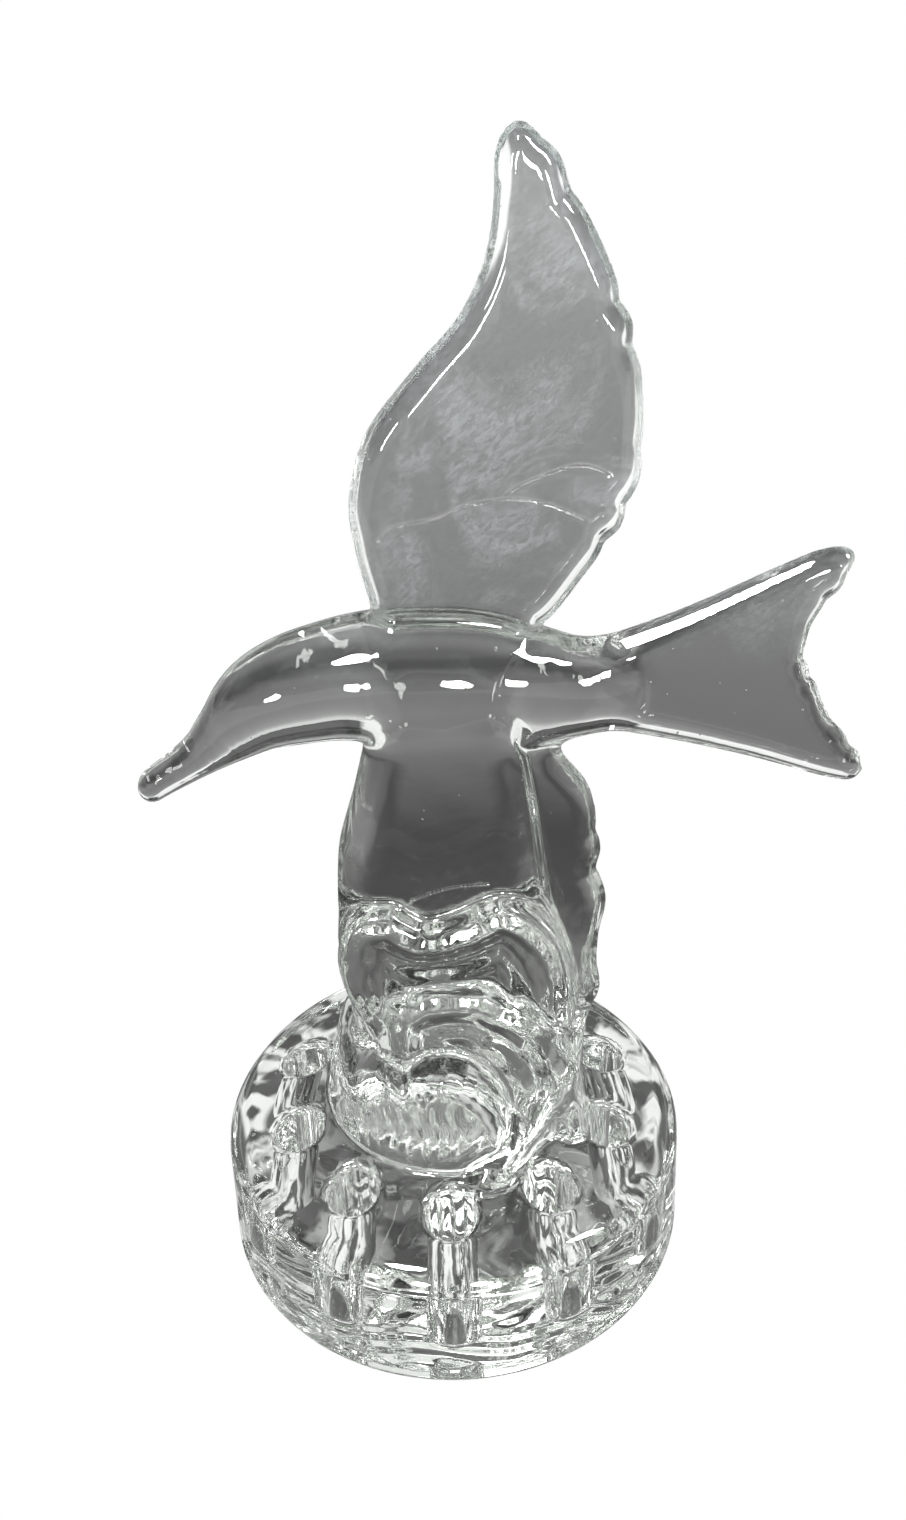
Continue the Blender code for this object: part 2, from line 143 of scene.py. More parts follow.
# The bird
BODY_AXIS_HEIGHT = 0.1433
BODY_RADIUS = 0.0128
BODY_DEPTH_SHARE = 0.94
BEAK_REACH = 0.0570
BODY_RINGS = (
    (-0.976, -1.82, 0.22), (-0.955, -1.71, 0.26), (-0.870, -1.46, 0.29), (-0.780, -1.17, 0.36),
    (-0.690, -0.82, 0.50), (-0.580, -0.40, 0.70), (-0.470, -0.18, 0.82), (-0.330, -0.04, 0.90),
    (-0.180, 0.01, 0.98), (0.000, 0.00, 1.00), (0.150, -0.04, 0.95), (0.270, -0.15, 0.83),
    (0.370, -0.27, 0.70), (0.470, -0.33, 0.56), (0.560, -0.34, 0.38),
)  # x as a share of BEAK_REACH, then height off the axis and radius as shares of BODY_RADIUS
WING_SPAN = 0.0980
WING_THICKNESS = 0.0084
FEATHER_EDGE_ROUND = 0.0011
FEATHER_BEVEL = (0.85, 0.80)  # how far in and down, as shares of half the thickness
FEATHER_UNEVENNESS = 0.30  # of the tips' spacing and height
FEATHER_DRIFT = 2.6  # feathers in one swing of their spacing
FEATHER_SWELLS = 5  # swings of their height along an edge
WING_TIP_THINNING = 0.30
WING_BOW = 0.0040
WING_LEADING = (
    (-0.090, 0.04), (-0.117, 0.16), (-0.138, 0.27), (-0.142, 0.37), (-0.106, 0.49), (-0.016, 0.604),
    (0.062, 0.692), (0.108, 0.785), (0.124, 0.880), (0.128, 0.950), (0.143, 0.985), (0.172, 1.000),
)
WING_TRAILING = (
    (0.208, 0.972), (0.261, 0.878), (0.313, 0.768), (0.354, 0.648), (0.376, 0.528), (0.377, 0.416),
    (0.341, 0.306), (0.277, 0.206), (0.200, 0.100), (0.140, 0.02),
)  # x and height above the body's axis, as shares of the span
WING_FEATHERS = 8
FEATHER_DEPTH = 0.0011
LOW_WING_SPAN = 0.0900
LOW_WING_THICKNESS = 0.0076
LOW_WING_LEADING = (
    (0.165, 0.06), (0.245, 0.19), (0.312, 0.30), (0.340, 0.41), (0.342, 0.51), (0.358, 0.61),
    (0.352, 0.71), (0.348, 0.81), (0.345, 0.92),
)
LOW_WING_TRAILING = (
    (0.295, 1.03), (0.200, 1.10), (-0.120, 1.00), (-0.180, 0.70), (-0.150, 0.40), (-0.100, 0.08),
)  # x and depth below the body's axis, as shares of the span
LOW_WING_FEATHERS = 5
TAIL_LENGTH = 0.0690
TAIL_ROOT_X = 0.0140
TAIL_THICKNESS = 0.0090
TAIL_END_THINNING = 0.35
TAIL_TOP = (
    (0.00, 0.045), (0.10, 0.075), (0.20, 0.080), (0.35, 0.128), (0.49, 0.184), (0.61, 0.240),
    (0.72, 0.293), (0.81, 0.330), (0.875, 0.336), (0.905, 0.312),
)
TAIL_END = (
    (0.885, 0.250), (0.830, 0.165), (0.792, 0.085), (0.792, 0.010), (0.826, -0.075),
    (0.870, -0.165), (0.935, -0.265), (0.985, -0.345),
)
TAIL_BOTTOM = (
    (0.987, -0.383), (0.955, -0.404), (0.880, -0.388), (0.68, -0.314), (0.53, -0.266),
    (0.36, -0.220), (0.24, -0.195), (0.10, -0.215), (0.00, -0.190),
)  # distance from the root and height off the body's axis, as shares of the tail's length
TAIL_FEATHERS = 6
TAIL_FEATHER_DEPTH = 0.0008

# Folds where the glass chilled against the mould: x, z along each, on the front faces
CHILL_WRINKLES = (
    ((-0.0090, 0.1732), (-0.0072, 0.1751), (-0.0044, 0.1759), (0.0012, 0.1770), (0.0068, 0.1791),
     (0.0114, 0.1798), (0.0146, 0.1801), (0.0202, 0.1789), (0.0245, 0.1770), (0.0277, 0.1753)),
    ((0.0134, 0.1809), (0.0157, 0.1823), (0.0202, 0.1842), (0.0244, 0.1855), (0.0267, 0.1857),
     (0.0289, 0.1851), (0.0317, 0.1837)),
    ((-0.0064, 0.0976), (0.0012, 0.1002), (0.0087, 0.1008)),
)
WRINKLE_REACH = 0.0025  # how far from a wrinkle's line its fold still shows
WRINKLE_CREASE = 1.5
WRINKLE_SHOULDERS = 0.5  # height of the swelling beside the crease, twice as wide

# Waves in the faces: length along x, y and z, and where each starts, in radians
STILL = math.inf  # the length of a wave that doesn't run that way
RIPPLES = (
    (1.0, ((0.0170, STILL, 0.0310, 0.4), (STILL, 0.0190, -0.0230, 1.3))),
    (0.6, ((STILL, 0.0400, 0.0125, 2.1), (0.0117, -0.0270, STILL, 0.0))),
    (0.4, ((0.0093, 0.0087, 0.0101, 0.9),)),
)  # share, and the waves that are multiplied
RIPPLE_RISE = 0.004  # height over which they fade in above the foot
CHILL_WAVES = ((0.0061, 0.0083, STILL, 0.0), (-0.0091, 0.0057, 0.0210, 1.1))
CHILL_FINE_WAVE = (0.0043, -0.0047, 0.0170, 0.7)
CHILL_FINE_SHARE = 0.5
CHILL_BEND = (2.0, 0.013)  # how far the first wave is bent, in radians, and the length of the bends
CHILL_BOTTOM = SEAM_HEIGHT + 2 * RIM_ROUND
CHILL_RISE = 0.010
CHILL_TOP = 0.105
CHILL_FADE = 0.020
UNDERSIDE_WAVES = ((0.0163, 0.0231, STILL, 0.0), (-0.0249, 0.0147, STILL, 0.0))
UNDERSIDE_BENDS = (1.5, 0.033, 0.027)  # how far they are bent, and the lengths of the bends along y and x

# Fillets where forms meet, as shares of the setting
BOSS_FILLET = 0.25
WATER_FILLET = 0.5
RIB_FILLET = 1.0
BODY_FILLET = 1.0
WING_FILLET = 0.6
TAIL_FILLET = 1.6

# How the solid is worked out
LINE_STEP = 0.0007  # between the points of a smooth line
BEAD_STEP = 0.8 * LINE_STEP  # between the spheres that make the body
TABLE_STEP = 0.0004  # between the places where an outline's distance is worked out
FAR = 0.02  # a distance that blends with nothing
OUTLINE_MARGIN = FAR / 2
FORM_MARGIN = FAR / 3
HOLE_MARGIN = FAR / 5
BLEND_SINK = 0.010  # how far the figure's forms start inside the block
MOST_ROUND = 0.98  # largest radius of a plate's edge, as a share of half its thickness
GRADIENT_STEP = 0.0001
LEAST_STEEPNESS = 0.25  # the smallest squared slope that a point is moved by
ON_SURFACE = 0.0001  # how near a point of the mesh is to the surface that it is on

# The mesh, in shares of its spacing where nothing else is said
NET_MARGIN = 2.3
WALL_SPACING = 1.2  # up the block's plain wall
SEAM_SPACING = 0.4  # across the mould's seam
SLAB = 8  # layers of the grid that are worked out at once
EVENING_ROUNDS = 3
EVENING_SHARE = 0.5
CORNER_REACH = 1.2  # how far the finer faces reach round the foot, in radii of its edge
FLOOR_REACH = 0.9  # where they start below a stem hole's floor, as a share of its height
WRINKLE_CUTS = (4.0, 3.0)  # how far from a wrinkle each cut reaches, in half widths

# The seeds
SEED_DRAW = 7
SEED_LEAST_DEPTH = 0.4  # as a share of the deepest
SEED_LEAST_RADIUS = 0.35  # as a share of the largest

# The finish of the glass
HAZE_NOISE = {"Detail": 6.0, "Roughness": 0.65, "Distortion": 1.2}
HAZE_RANGE = {"From Min": 0.48, "From Max": 0.72, "To Min": 0.0}
STROKE_NOISE = {"Detail": 8.0, "Roughness": 0.8, "Distortion": 0.6}
STROKES_A_PATCH = 30  # about 0.7 mm wide, coarser than real scuffs, so that they show
STROKE_LEAN = math.radians(50)
STROKE_LENGTH = 2.6  # in widths
STROKE_RANGE = {"From Min": 0.40, "From Max": 0.64, "To Min": 0.12, "To Max": 1.0}
FILM_RANGE = {"From Min": 0.45, "From Max": 0.62, "To Min": 0.18, "To Max": 1.0}
FILM_ROUGHNESS = 0.85
FILM_COLOUR = "#EEF6FA"
SKIN_NOISE = {"Detail": 3.0, "Roughness": 0.5}  # coarser than a mould's own skin, so that it shows
SKIN_DEPTH = 0.0003

Form = namedtuple("Form", "low high distance blend")


def linear(hex_colour):
    """An sRGB hex colour as linear values, with an alpha of 1."""
    values = [int(hex_colour[k : k + 2], 16) / 255 for k in (1, 3, 5)]
    return tuple(v / 12.92 if v <= 0.04045 else ((v + 0.055) / 1.055) ** 2.4 for v in values) + (1.0,)


def smooth_line(points, closed=True, step=LINE_STEP):
    """A Catmull-Rom line through the points as an array, and the span that each of its points is in."""
    points = np.array(points, float)
    count = len(points)
    line, spans = [], []
    for i in range(count if closed else count - 1):
        places = [(i + k) % count if closed else min(max(i + k, 0), count - 1) for k in (-1, 0, 1, 2)]
        before, start, end, after = points[places]
        facets = max(1, round(np.linalg.norm(end - start) / step))
        t = (np.arange(facets) / facets)[:, None]
        line.append(
            0.5
            * (
                2 * start
                + (end - before) * t
                + (2 * before - 5 * start + 4 * end - after) * t**2
                + (3 * start - before - 3 * end + after) * t**3
            )
        )
        spans += [i] * facets
    if not closed:
        line.append(points[-1:])
        spans.append(count - 1)
    return np.concatenate(line), np.array(spans)


def feathered(points, first, last, feathers, depth):
    """A smooth closed outline, clockwise, whose edge between two of its points is a row of feather tips."""
    line, spans = smooth_line(points)
    along = np.roll(line, -1, axis=0) - np.roll(line, 1, axis=0)
    outward = np.stack([-along[:, 1], along[:, 0]], axis=1) / np.linalg.norm(along, axis=1)[:, None]
    edge = np.nonzero((spans >= first) & (spans < last))[0]
    share = np.arange(len(edge)) / len(edge)
    drift = FEATHER_UNEVENNESS / feathers * np.sin(2 * np.pi * share * feathers / FEATHER_DRIFT)
    tips = np.abs(np.sin(np.pi * feathers * (share + drift)))
    tips *= 1 - FEATHER_UNEVENNESS * np.cos(FEATHER_SWELLS * np.pi * share) ** 2
    line[edge] += outward[edge] * (depth * tips)[:, None]
    return line


def wave(x, y, z, form, bend=0.0):
    """A wave from -1 to 1. form has its lengths along x, y and z and where it starts."""
    return np.sin(2 * math.pi * (x / form[0] + y / form[1] + z / form[2]) + form[3] + bend)


class Outline:
    """Signed distance from a closed outline in the XZ plane, negative inside, read from a table."""

    def __init__(self, line):
        self.low = line.min(axis=0) - OUTLINE_MARGIN
        high = line.max(axis=0) + OUTLINE_MARGIN
        self.counts = np.ceil((high - self.low) / TABLE_STEP).astype(int) + 2
        across = self.low[0] + TABLE_STEP * np.arange(self.counts[0])
        up = self.low[1] + TABLE_STEP * np.arange(self.counts[1])
        x, z = np.meshgrid(across, up, indexing="ij")
        nearest = np.full(x.shape, np.inf)
        inside = np.zeros(x.shape, bool)
        for start, end in zip(line, np.roll(line, -1, axis=0)):
            way = end - start
            share = np.clip(((x - start[0]) * way[0] + (z - start[1]) * way[1]) / (way @ way), 0, 1)
            gap = (x - start[0] - share * way[0]) ** 2 + (z - start[1] - share * way[1]) ** 2
            np.minimum(nearest, gap, out=nearest)
            if start[1] != end[1]:
                level = (start[1] > up) != (end[1] > up)
                crossing = start[0] + (up - start[1]) * way[0] / way[1]
                inside ^= level[None, :] & (x < crossing[None, :])
        self.table = np.where(inside, -1, 1) * np.sqrt(nearest)

    def distance(self, x, z):
        """The distance at these places, by bilinear reading of the table."""
        across = np.clip((x - self.low[0]) / TABLE_STEP, 0, self.counts[0] - 1.001)
        up = np.clip((z - self.low[1]) / TABLE_STEP, 0, self.counts[1] - 1.001)
        i, k = across.astype(int), up.astype(int)
        s, t = across - i, up - k
        table = self.table
        return (1 - s) * ((1 - t) * table[i, k] + t * table[i, k + 1]) + s * (
            (1 - t) * table[i + 1, k] + t * table[i + 1, k + 1]
        )


def blended(a, b, reach):
    """The nearer of two distances, filleted over this reach where they meet."""
    overlap = np.maximum(reach - np.abs(a - b), 0) / reach
    return np.minimum(a, b) - overlap**2 * reach / 4


def rounded_corner(a, b, radius):
    """The distance of what is inside both, with the corner between them rounded."""
    return np.minimum(-radius, np.maximum(a, b)) + np.hypot(
        np.maximum(radius + a, 0), np.maximum(radius + b, 0)
    )


def smooth_step(value):
    """0 below 0, 1 above 1, and an even curve between."""
    value = np.clip(value, 0, 1)
    return value * value * (3 - 2 * value)


def plate(line, depth, edge, blend, taper=None, lean=None, bevel=None, folds=None, fall=None):
    """A flat form standing in the XZ plane, with its edge rounded to this radius. taper and lean give its
    thickness and place as functions of x and z. bevel has shares of half the thickness: how far the slope
    that its mould's draft leaves round the edge reaches in over the faces, and down towards the middle.
    folds has the height and the length of waves in the faces that follow the outline. fall has the y behind
    which the form's top slopes down to the back, and its slope."""
    outline = Outline(line)

    def distance(x, y, z):
        flat = outline.distance(x, z + fall[1] * np.maximum(y - fall[0], 0) if fall else z)
        half = depth / 2 * (taper(x, z) if taper else 1.0)
        off = np.abs(y - (lean(x, z) if lean else 0.0)) - half
        if folds:
            off = off - folds[0] * np.sin(2 * np.pi * flat / folds[1]) * smooth_step(-flat / edge)
        if not bevel:
            return rounded_corner(flat, off, np.minimum(edge, half * MOST_ROUND))
        reach, drop = half * bevel[0], half * bevel[1]
        slope = (flat * drop + off * reach + reach * drop) / np.hypot(reach, drop)
        return -blended(-rounded_corner(flat, off, edge / 2), -slope, edge)

    low = np.array([line[:, 0].min(), -depth / 2, line[:, 1].min()]) - FORM_MARGIN
    high = np.array([line[:, 0].max(), depth / 2, line[:, 1].max()]) + FORM_MARGIN
    return Form(low, high, distance, blend)


def string_of_beads(path, radii, blend, flatten=1.0):
    """A round form along a path, as close-set spheres."""
    low = (path - radii[:, None]).min(axis=0) - FORM_MARGIN
    high = (path + radii[:, None]).max(axis=0) + FORM_MARGIN

    def distance(x, y, z):
        nearest = np.full(x.shape, FAR)
        for (px, py, pz), radius in zip(path, radii):
            gap = np.sqrt((x - px) ** 2 + ((y - py) / flatten) ** 2 + (z - pz) ** 2) - radius
            np.minimum(nearest, gap, out=nearest)
        return nearest

    return Form(low, high, distance, blend)


def crown_height(radius):
    """Height of the block's conical top at this distance from the axis."""
    rim_radius = BLOCK_RADIUS - RIM_ROUND * (1 - math.sin(CROWN_SLOPE))
    rim_height = SEAM_HEIGHT + RIM_ROUND * math.cos(CROWN_SLOPE)
    return rim_height + (rim_radius - radius) * math.tan(CROWN_SLOPE)


def figure_bottom():
    """Height at which the waves and the column start, inside the block."""
    return crown_height(BOSS_RADIUS) - BLEND_SINK


def hollow_height(x, y, unevenness):
    """Height of the underside: a flat ring to stand on, and a slightly hollow, uneven face inside it."""
    bend, along_y, along_x = UNDERSIDE_BENDS
    waves = wave(x, y, 0.0, UNDERSIDE_WAVES[0], bend * np.sin(2 * math.pi * y / along_y))
    waves = waves * wave(x, y, 0.0, UNDERSIDE_WAVES[1], bend * np.sin(2 * math.pi * x / along_x))
    inside = smooth_step((FOOT_RADIUS - UNDERSIDE_RIM - np.hypot(x, y)) / UNDERSIDE_FADE)
    return inside * (UNDERSIDE_HOLLOW + unevenness * waves)


def block_distance(x, y, z, seam_proud, seam_width, unevenness):
    """The round block, with the line that the mould's joint leaves on its wall."""
    radius = np.hypot(x, y)
    wall = radius - FOOT_RADIUS + WALL_DRAFT * z / SEAM_HEIGHT
    ridge = np.exp(-(((z - SEAM_HEIGHT) / seam_width) ** 2))
    wall = wall - seam_proud * (ridge - 1 - np.tanh((z - SEAM_HEIGHT) / seam_width))
    top = (z - crown_height(radius)) * math.cos(CROWN_SLOPE)
    block = rounded_corner(wall, top, RIM_ROUND)
    return rounded_corner(block, hollow_height(x, y, unevenness) - z, FOOT_ROUND)


def boss_form(blend):
    """The lowest wave: its crest runs front to back and a drum trims it, with a rolled edge between."""
    points = [(across * BOSS_RADIUS, share * BOSS_HEIGHT) for across, share in BOSS_CREST]
    outline = Outline(smooth_line(points)[0])
    path = smooth_line(
        [(gx * BOSS_RADIUS, gy * BOSS_RADIUS, gz * BOSS_HEIGHT) for gx, gy, gz in BOSS_GROOVE], closed=False
    )[0]
    places = np.linspace(0, len(path) - 1, len(BOSS_GROOVE))
    groove = string_of_beads(path, np.interp(np.arange(len(path)), places, BOSS_GROOVE_RADII), 0.0)

    def distance(x, y, z):
        drum = np.hypot(x, y) - BOSS_RADIUS
        solid = rounded_corner(outline.distance(x, z), drum, BOSS_ROLL)
        return -blended(-solid, groove.distance(x, y, z), BOSS_ROLL / 2)

    low = np.array([-BOSS_RADIUS, -BOSS_RADIUS, figure_bottom()]) - FORM_MARGIN
    high = np.array([BOSS_RADIUS, BOSS_RADIUS, BOSS_HEIGHT]) + FORM_MARGIN
    return Form(low, high, distance, blend)


def wave_form(crest, height, depth, blend):
    """One of the upper waves: a rolling crest with rolled edges."""
    rise = height - figure_bottom()
    points = [(across * WAVE_HALF_WIDTH, figure_bottom() + share * rise) for across, share in crest]
    fall = (-COLUMN_DEPTH / 2, WAVE_FALL)
    return plate(smooth_line(points)[0], depth, WAVE_EDGE_ROUND, blend, folds=WAVE_FOLDS, fall=fall)


def column_form(blend):
    """The column of water that carries the bird."""
    rise = BODY_AXIS_HEIGHT - figure_bottom()
    left = [(-across * COLUMN_HALF_WIDTH, figure_bottom() + share * rise) for across, share in COLUMN_LEFT]
    right = [(across * COLUMN_HALF_WIDTH, figure_bottom() + share * rise) for across, share in COLUMN_RIGHT]
    return plate(smooth_line(left + right)[0], COLUMN_DEPTH, COLUMN_EDGE_ROUND, blend, bevel=COLUMN_BEVEL)


def rib_form(blend):
    """The curling edge from the lowered wing's tip round the boss to its foot."""
    points = [(px * BOSS_RADIUS, py * BOSS_RADIUS, pz * BOSS_HEIGHT) for px, py, pz in RIB_PATH]
    path = smooth_line(points, closed=False)[0]
    swell = np.sin(np.pi * np.arange(len(path)) / (len(path) - 1))
    return string_of_beads(path, RIB_RADIUS * (RIB_END_SHARE + (1 - RIB_END_SHARE) * swell), blend)


def body_form(blend):
    """The gull's body, from its beak to the root of its tail."""
    rings = [
        (across * BEAK_REACH, BODY_AXIS_HEIGHT + rise * BODY_RADIUS, radius * BODY_RADIUS)
        for across, rise, radius in BODY_RINGS
    ]
    line = smooth_line(rings, closed=False, step=BEAD_STEP)[0]
    path = np.stack([line[:, 0], np.zeros(len(line)), line[:, 1]], axis=1)
    return string_of_beads(path, line[:, 2], blend, flatten=BODY_DEPTH_SHARE)


def wing_out(z):
    """How far out along the raised wing a height is, from 0 at the body's axis to 1 at the tip."""
    return np.clip((z - BODY_AXIS_HEIGHT) / WING_SPAN, 0, 1)


def wing_form(blend):
    """The raised wing, thinner and leaning back towards its tip."""
    points = [
        (across * WING_SPAN, BODY_AXIS_HEIGHT + rise * WING_SPAN)
        for across, rise in WING_LEADING + WING_TRAILING
    ]
    line = feathered(points, len(WING_LEADING), len(points) - 1, WING_FEATHERS, FEATHER_DEPTH)
    return plate(
        line,
        WING_THICKNESS,
        FEATHER_EDGE_ROUND,
        blend,
        taper=lambda x, z: 1 - WING_TIP_THINNING * wing_out(z),
        lean=lambda x, z: WING_BOW * wing_out(z) ** 2,
        bevel=FEATHER_BEVEL,
    )


def low_wing_form(blend):
    """The lowered wing, whose trailing edge stands out of the column."""
    points = [
        (across * LOW_WING_SPAN, BODY_AXIS_HEIGHT - drop * LOW_WING_SPAN)
        for across, drop in LOW_WING_LEADING + LOW_WING_TRAILING
    ]
    line = feathered(points, 0, len(LOW_WING_LEADING) - 1, LOW_WING_FEATHERS, FEATHER_DEPTH)
    return plate(line, LOW_WING_THICKNESS, FEATHER_EDGE_ROUND, blend, bevel=FEATHER_BEVEL)


def tail_form(blend):
    """The forked tail, thinner towards its ragged end."""
    points = [
        (TAIL_ROOT_X + out * TAIL_LENGTH, BODY_AXIS_HEIGHT + rise * TAIL_LENGTH)
        for out, rise in TAIL_TOP + TAIL_END + TAIL_BOTTOM
    ]
    first = len(TAIL_TOP)
    line = feathered(points, first, first + len(TAIL_END), TAIL_FEATHERS, TAIL_FEATHER_DEPTH)
    return plate(
        line,
        TAIL_THICKNESS,
        FEATHER_EDGE_ROUND,
        blend,
        taper=lambda x, z: 1 - TAIL_END_THINNING * np.clip((x - TAIL_ROOT_X) / TAIL_LENGTH, 0, 1),
        bevel=FEATHER_BEVEL,
    )


def hole_form(index, flute):
    """One blind stem hole, as the space that is left out of the glass. flute is how deep the streaks drawn
    down its wall are."""
    turn = HOLE_TURN + 2 * math.pi * index / HOLE_COUNT
    centre_x, centre_y = HOLE_RING * math.cos(turn), HOLE_RING * math.sin(turn)
    top = crown_height(BOSS_RADIUS) + HOLE_RADIUS

    def distance(x, y, z):
        radius = HOLE_RADIUS - HOLE_DRAFT * (1 - (z - HOLE_FLOOR) / (top - HOLE_FLOOR))
        around = np.arctan2(y - centre_y, x - centre_x)
        streaks = np.sin(HOLE_FLUTES * around + index)
        streaks = streaks + FINE_FLUTE_SHARE * np.sin(HOLE_FINE_FLUTES * around - 2 * index)
        side = np.hypot(x - centre_x, y - centre_y) - radius + flute * streaks / (1 + FINE_FLUTE_SHARE)
        return rounded_corner(side, HOLE_FLOOR - z, HOLE_FLOOR_ROUND)

    reach = HOLE_RADIUS + HOLE_MARGIN
    low = np.array([centre_x - reach, centre_y - reach, 0.0])
    high = np.array([centre_x + reach, centre_y + reach, top])
    return Form(low, high, distance, HOLE_MOUTH_ROUND)


class Pressing:
    """The whole pressing as one signed distance, negative in the glass."""

    def __init__(self, settings):
        self.settings = settings
        fillet = settings.fillet
        self.forms = [
            boss_form(fillet * BOSS_FILLET),
            wave_form(MIDDLE_CREST, MIDDLE_WAVE_HEIGHT, MIDDLE_WAVE_DEPTH, fillet * WATER_FILLET),
            wave_form(UPPER_CREST, UPPER_WAVE_HEIGHT, UPPER_WAVE_DEPTH, fillet * WATER_FILLET),
            rib_form(fillet * RIB_FILLET),
            column_form(fillet * WATER_FILLET),
            low_wing_form(fillet * WATER_FILLET),
            body_form(fillet * BODY_FILLET),
            wing_form(fillet * WING_FILLET),
            tail_form(fillet * TAIL_FILLET),
        ]
        self.holes = [hole_form(index, settings.flute) for index in range(HOLE_COUNT)]
        self.wrinkles = [smooth_line(points, closed=False)[0] for points in CHILL_WRINKLES]

    def near_wrinkle(self, points):
        """How far each place is from the nearest chill wrinkle, in the XZ plane, and FAR off the front."""
        gap = np.full(len(points), FAR)
        for line in self.wrinkles:
            low, high = line.min(axis=0) - WRINKLE_REACH, line.max(axis=0) + WRINKLE_REACH
            flat = points[:, (0, 2)]
            near = np.all((flat > low) & (flat < high), axis=1) & (points[:, 1] < 0)
            if near.any():
                across = np.linalg.norm(flat[near][:, None, :] - line[None, :, :], axis=2).min(axis=1)
                gap[near] = np.minimum(gap[near], across)
        return gap

    def distance(self, points):
        """The signed distance at an array of points."""
        x, y, z = points.T
        settings = self.settings
        field = block_distance(x, y, z, settings.seam_proud, settings.seam_width, settings.unevenness)
        field = np.minimum(field, FAR)
        for form in self.forms:
            near = np.all((points > form.low) & (points < form.high), axis=1)
            if near.any():
                field[near] = blended(field[near], form.distance(x[near], y[near], z[near]), form.blend)
        unevenness = settings.ripple * self.ripple(x, y, z) + settings.chill * self.chill(x, y, z)
        for hole in self.holes:
            near = np.all((points > hole.low) & (points < hole.high), axis=1)
            if near.any():
                space = hole.distance(x[near], y[near], z[near])
                field[near] = -blended(-field[near], space, hole.blend)
                unevenness[near] *= smooth_step(space / HOLE_MOUTH_ROUND)
        gap = self.near_wrinkle(points) / settings.wrinkle_width
        crease, shoulders = np.exp(-(gap**2)), np.exp(-((gap / 2) ** 2))
        fold = settings.wrinkle_depth * (WRINKLE_CREASE * crease - WRINKLE_SHOULDERS * shoulders)
        return field + fold + unevenness

    def ripple(self, x, y, z):
        """The slow unevenness of fire-polished glass, from -1 to 1, over about 9 to 20 mm, and none
        underneath."""
        total = np.zeros(x.shape)
        for share, forms in RIPPLES:
            product = share
            for form in forms:
                product = product * wave(x, y, z, form)
            total += product
        return total / sum(share for share, _ in RIPPLES) * smooth_step(z / RIPPLE_RISE)

    def chill(self, x, y, z):
        """The short waves left where thick glass met the cold mould, from -1 to 1, over about 4 to 7 mm.
        They run from the boss up to the top of the waves."""
        bend = CHILL_BEND[0] * np.sin(2 * math.pi * z / CHILL_BEND[1])
        waves = wave(x, y, z, CHILL_WAVES[0], bend) * wave(x, y, z, CHILL_WAVES[1])
        waves = (waves + CHILL_FINE_SHARE * wave(x, y, z, CHILL_FINE_WAVE)) / (1 + CHILL_FINE_SHARE)
        above = smooth_step((z - CHILL_BOTTOM) / CHILL_RISE)
        return waves * above * smooth_step((CHILL_TOP - z) / CHILL_FADE)

    def gradient(self, points):
        """The direction out of the glass at each point, times the field's steepness."""
        slopes = np.empty_like(points)
        for axis in range(3):
            shift = np.zeros(3)
            shift[axis] = GRADIENT_STEP
            rise = self.distance(points + shift) - self.distance(points - shift)
            slopes[:, axis] = rise / (2 * GRADIENT_STEP)
        return slopes

    def settle(self, points):
        """The points moved straight onto the glass's surface."""
        slopes = self.gradient(points)
        steepness = np.maximum((slopes**2).sum(axis=1), LEAST_STEEPNESS)
        return points - slopes * (self.distance(points) / steepness)[:, None]


def grid_lines(low, high, spacing, stretches):
    """Grid places from low to high. stretches has the (from, to, spacing) of those with a spacing of their
    own."""
    places = [low]
    while places[-1] < high:
        step = spacing
        for start, end, own in stretches:
            if start <= places[-1] < end:
                step = own
        places.append(places[-1] + step)
    return np.array(places)


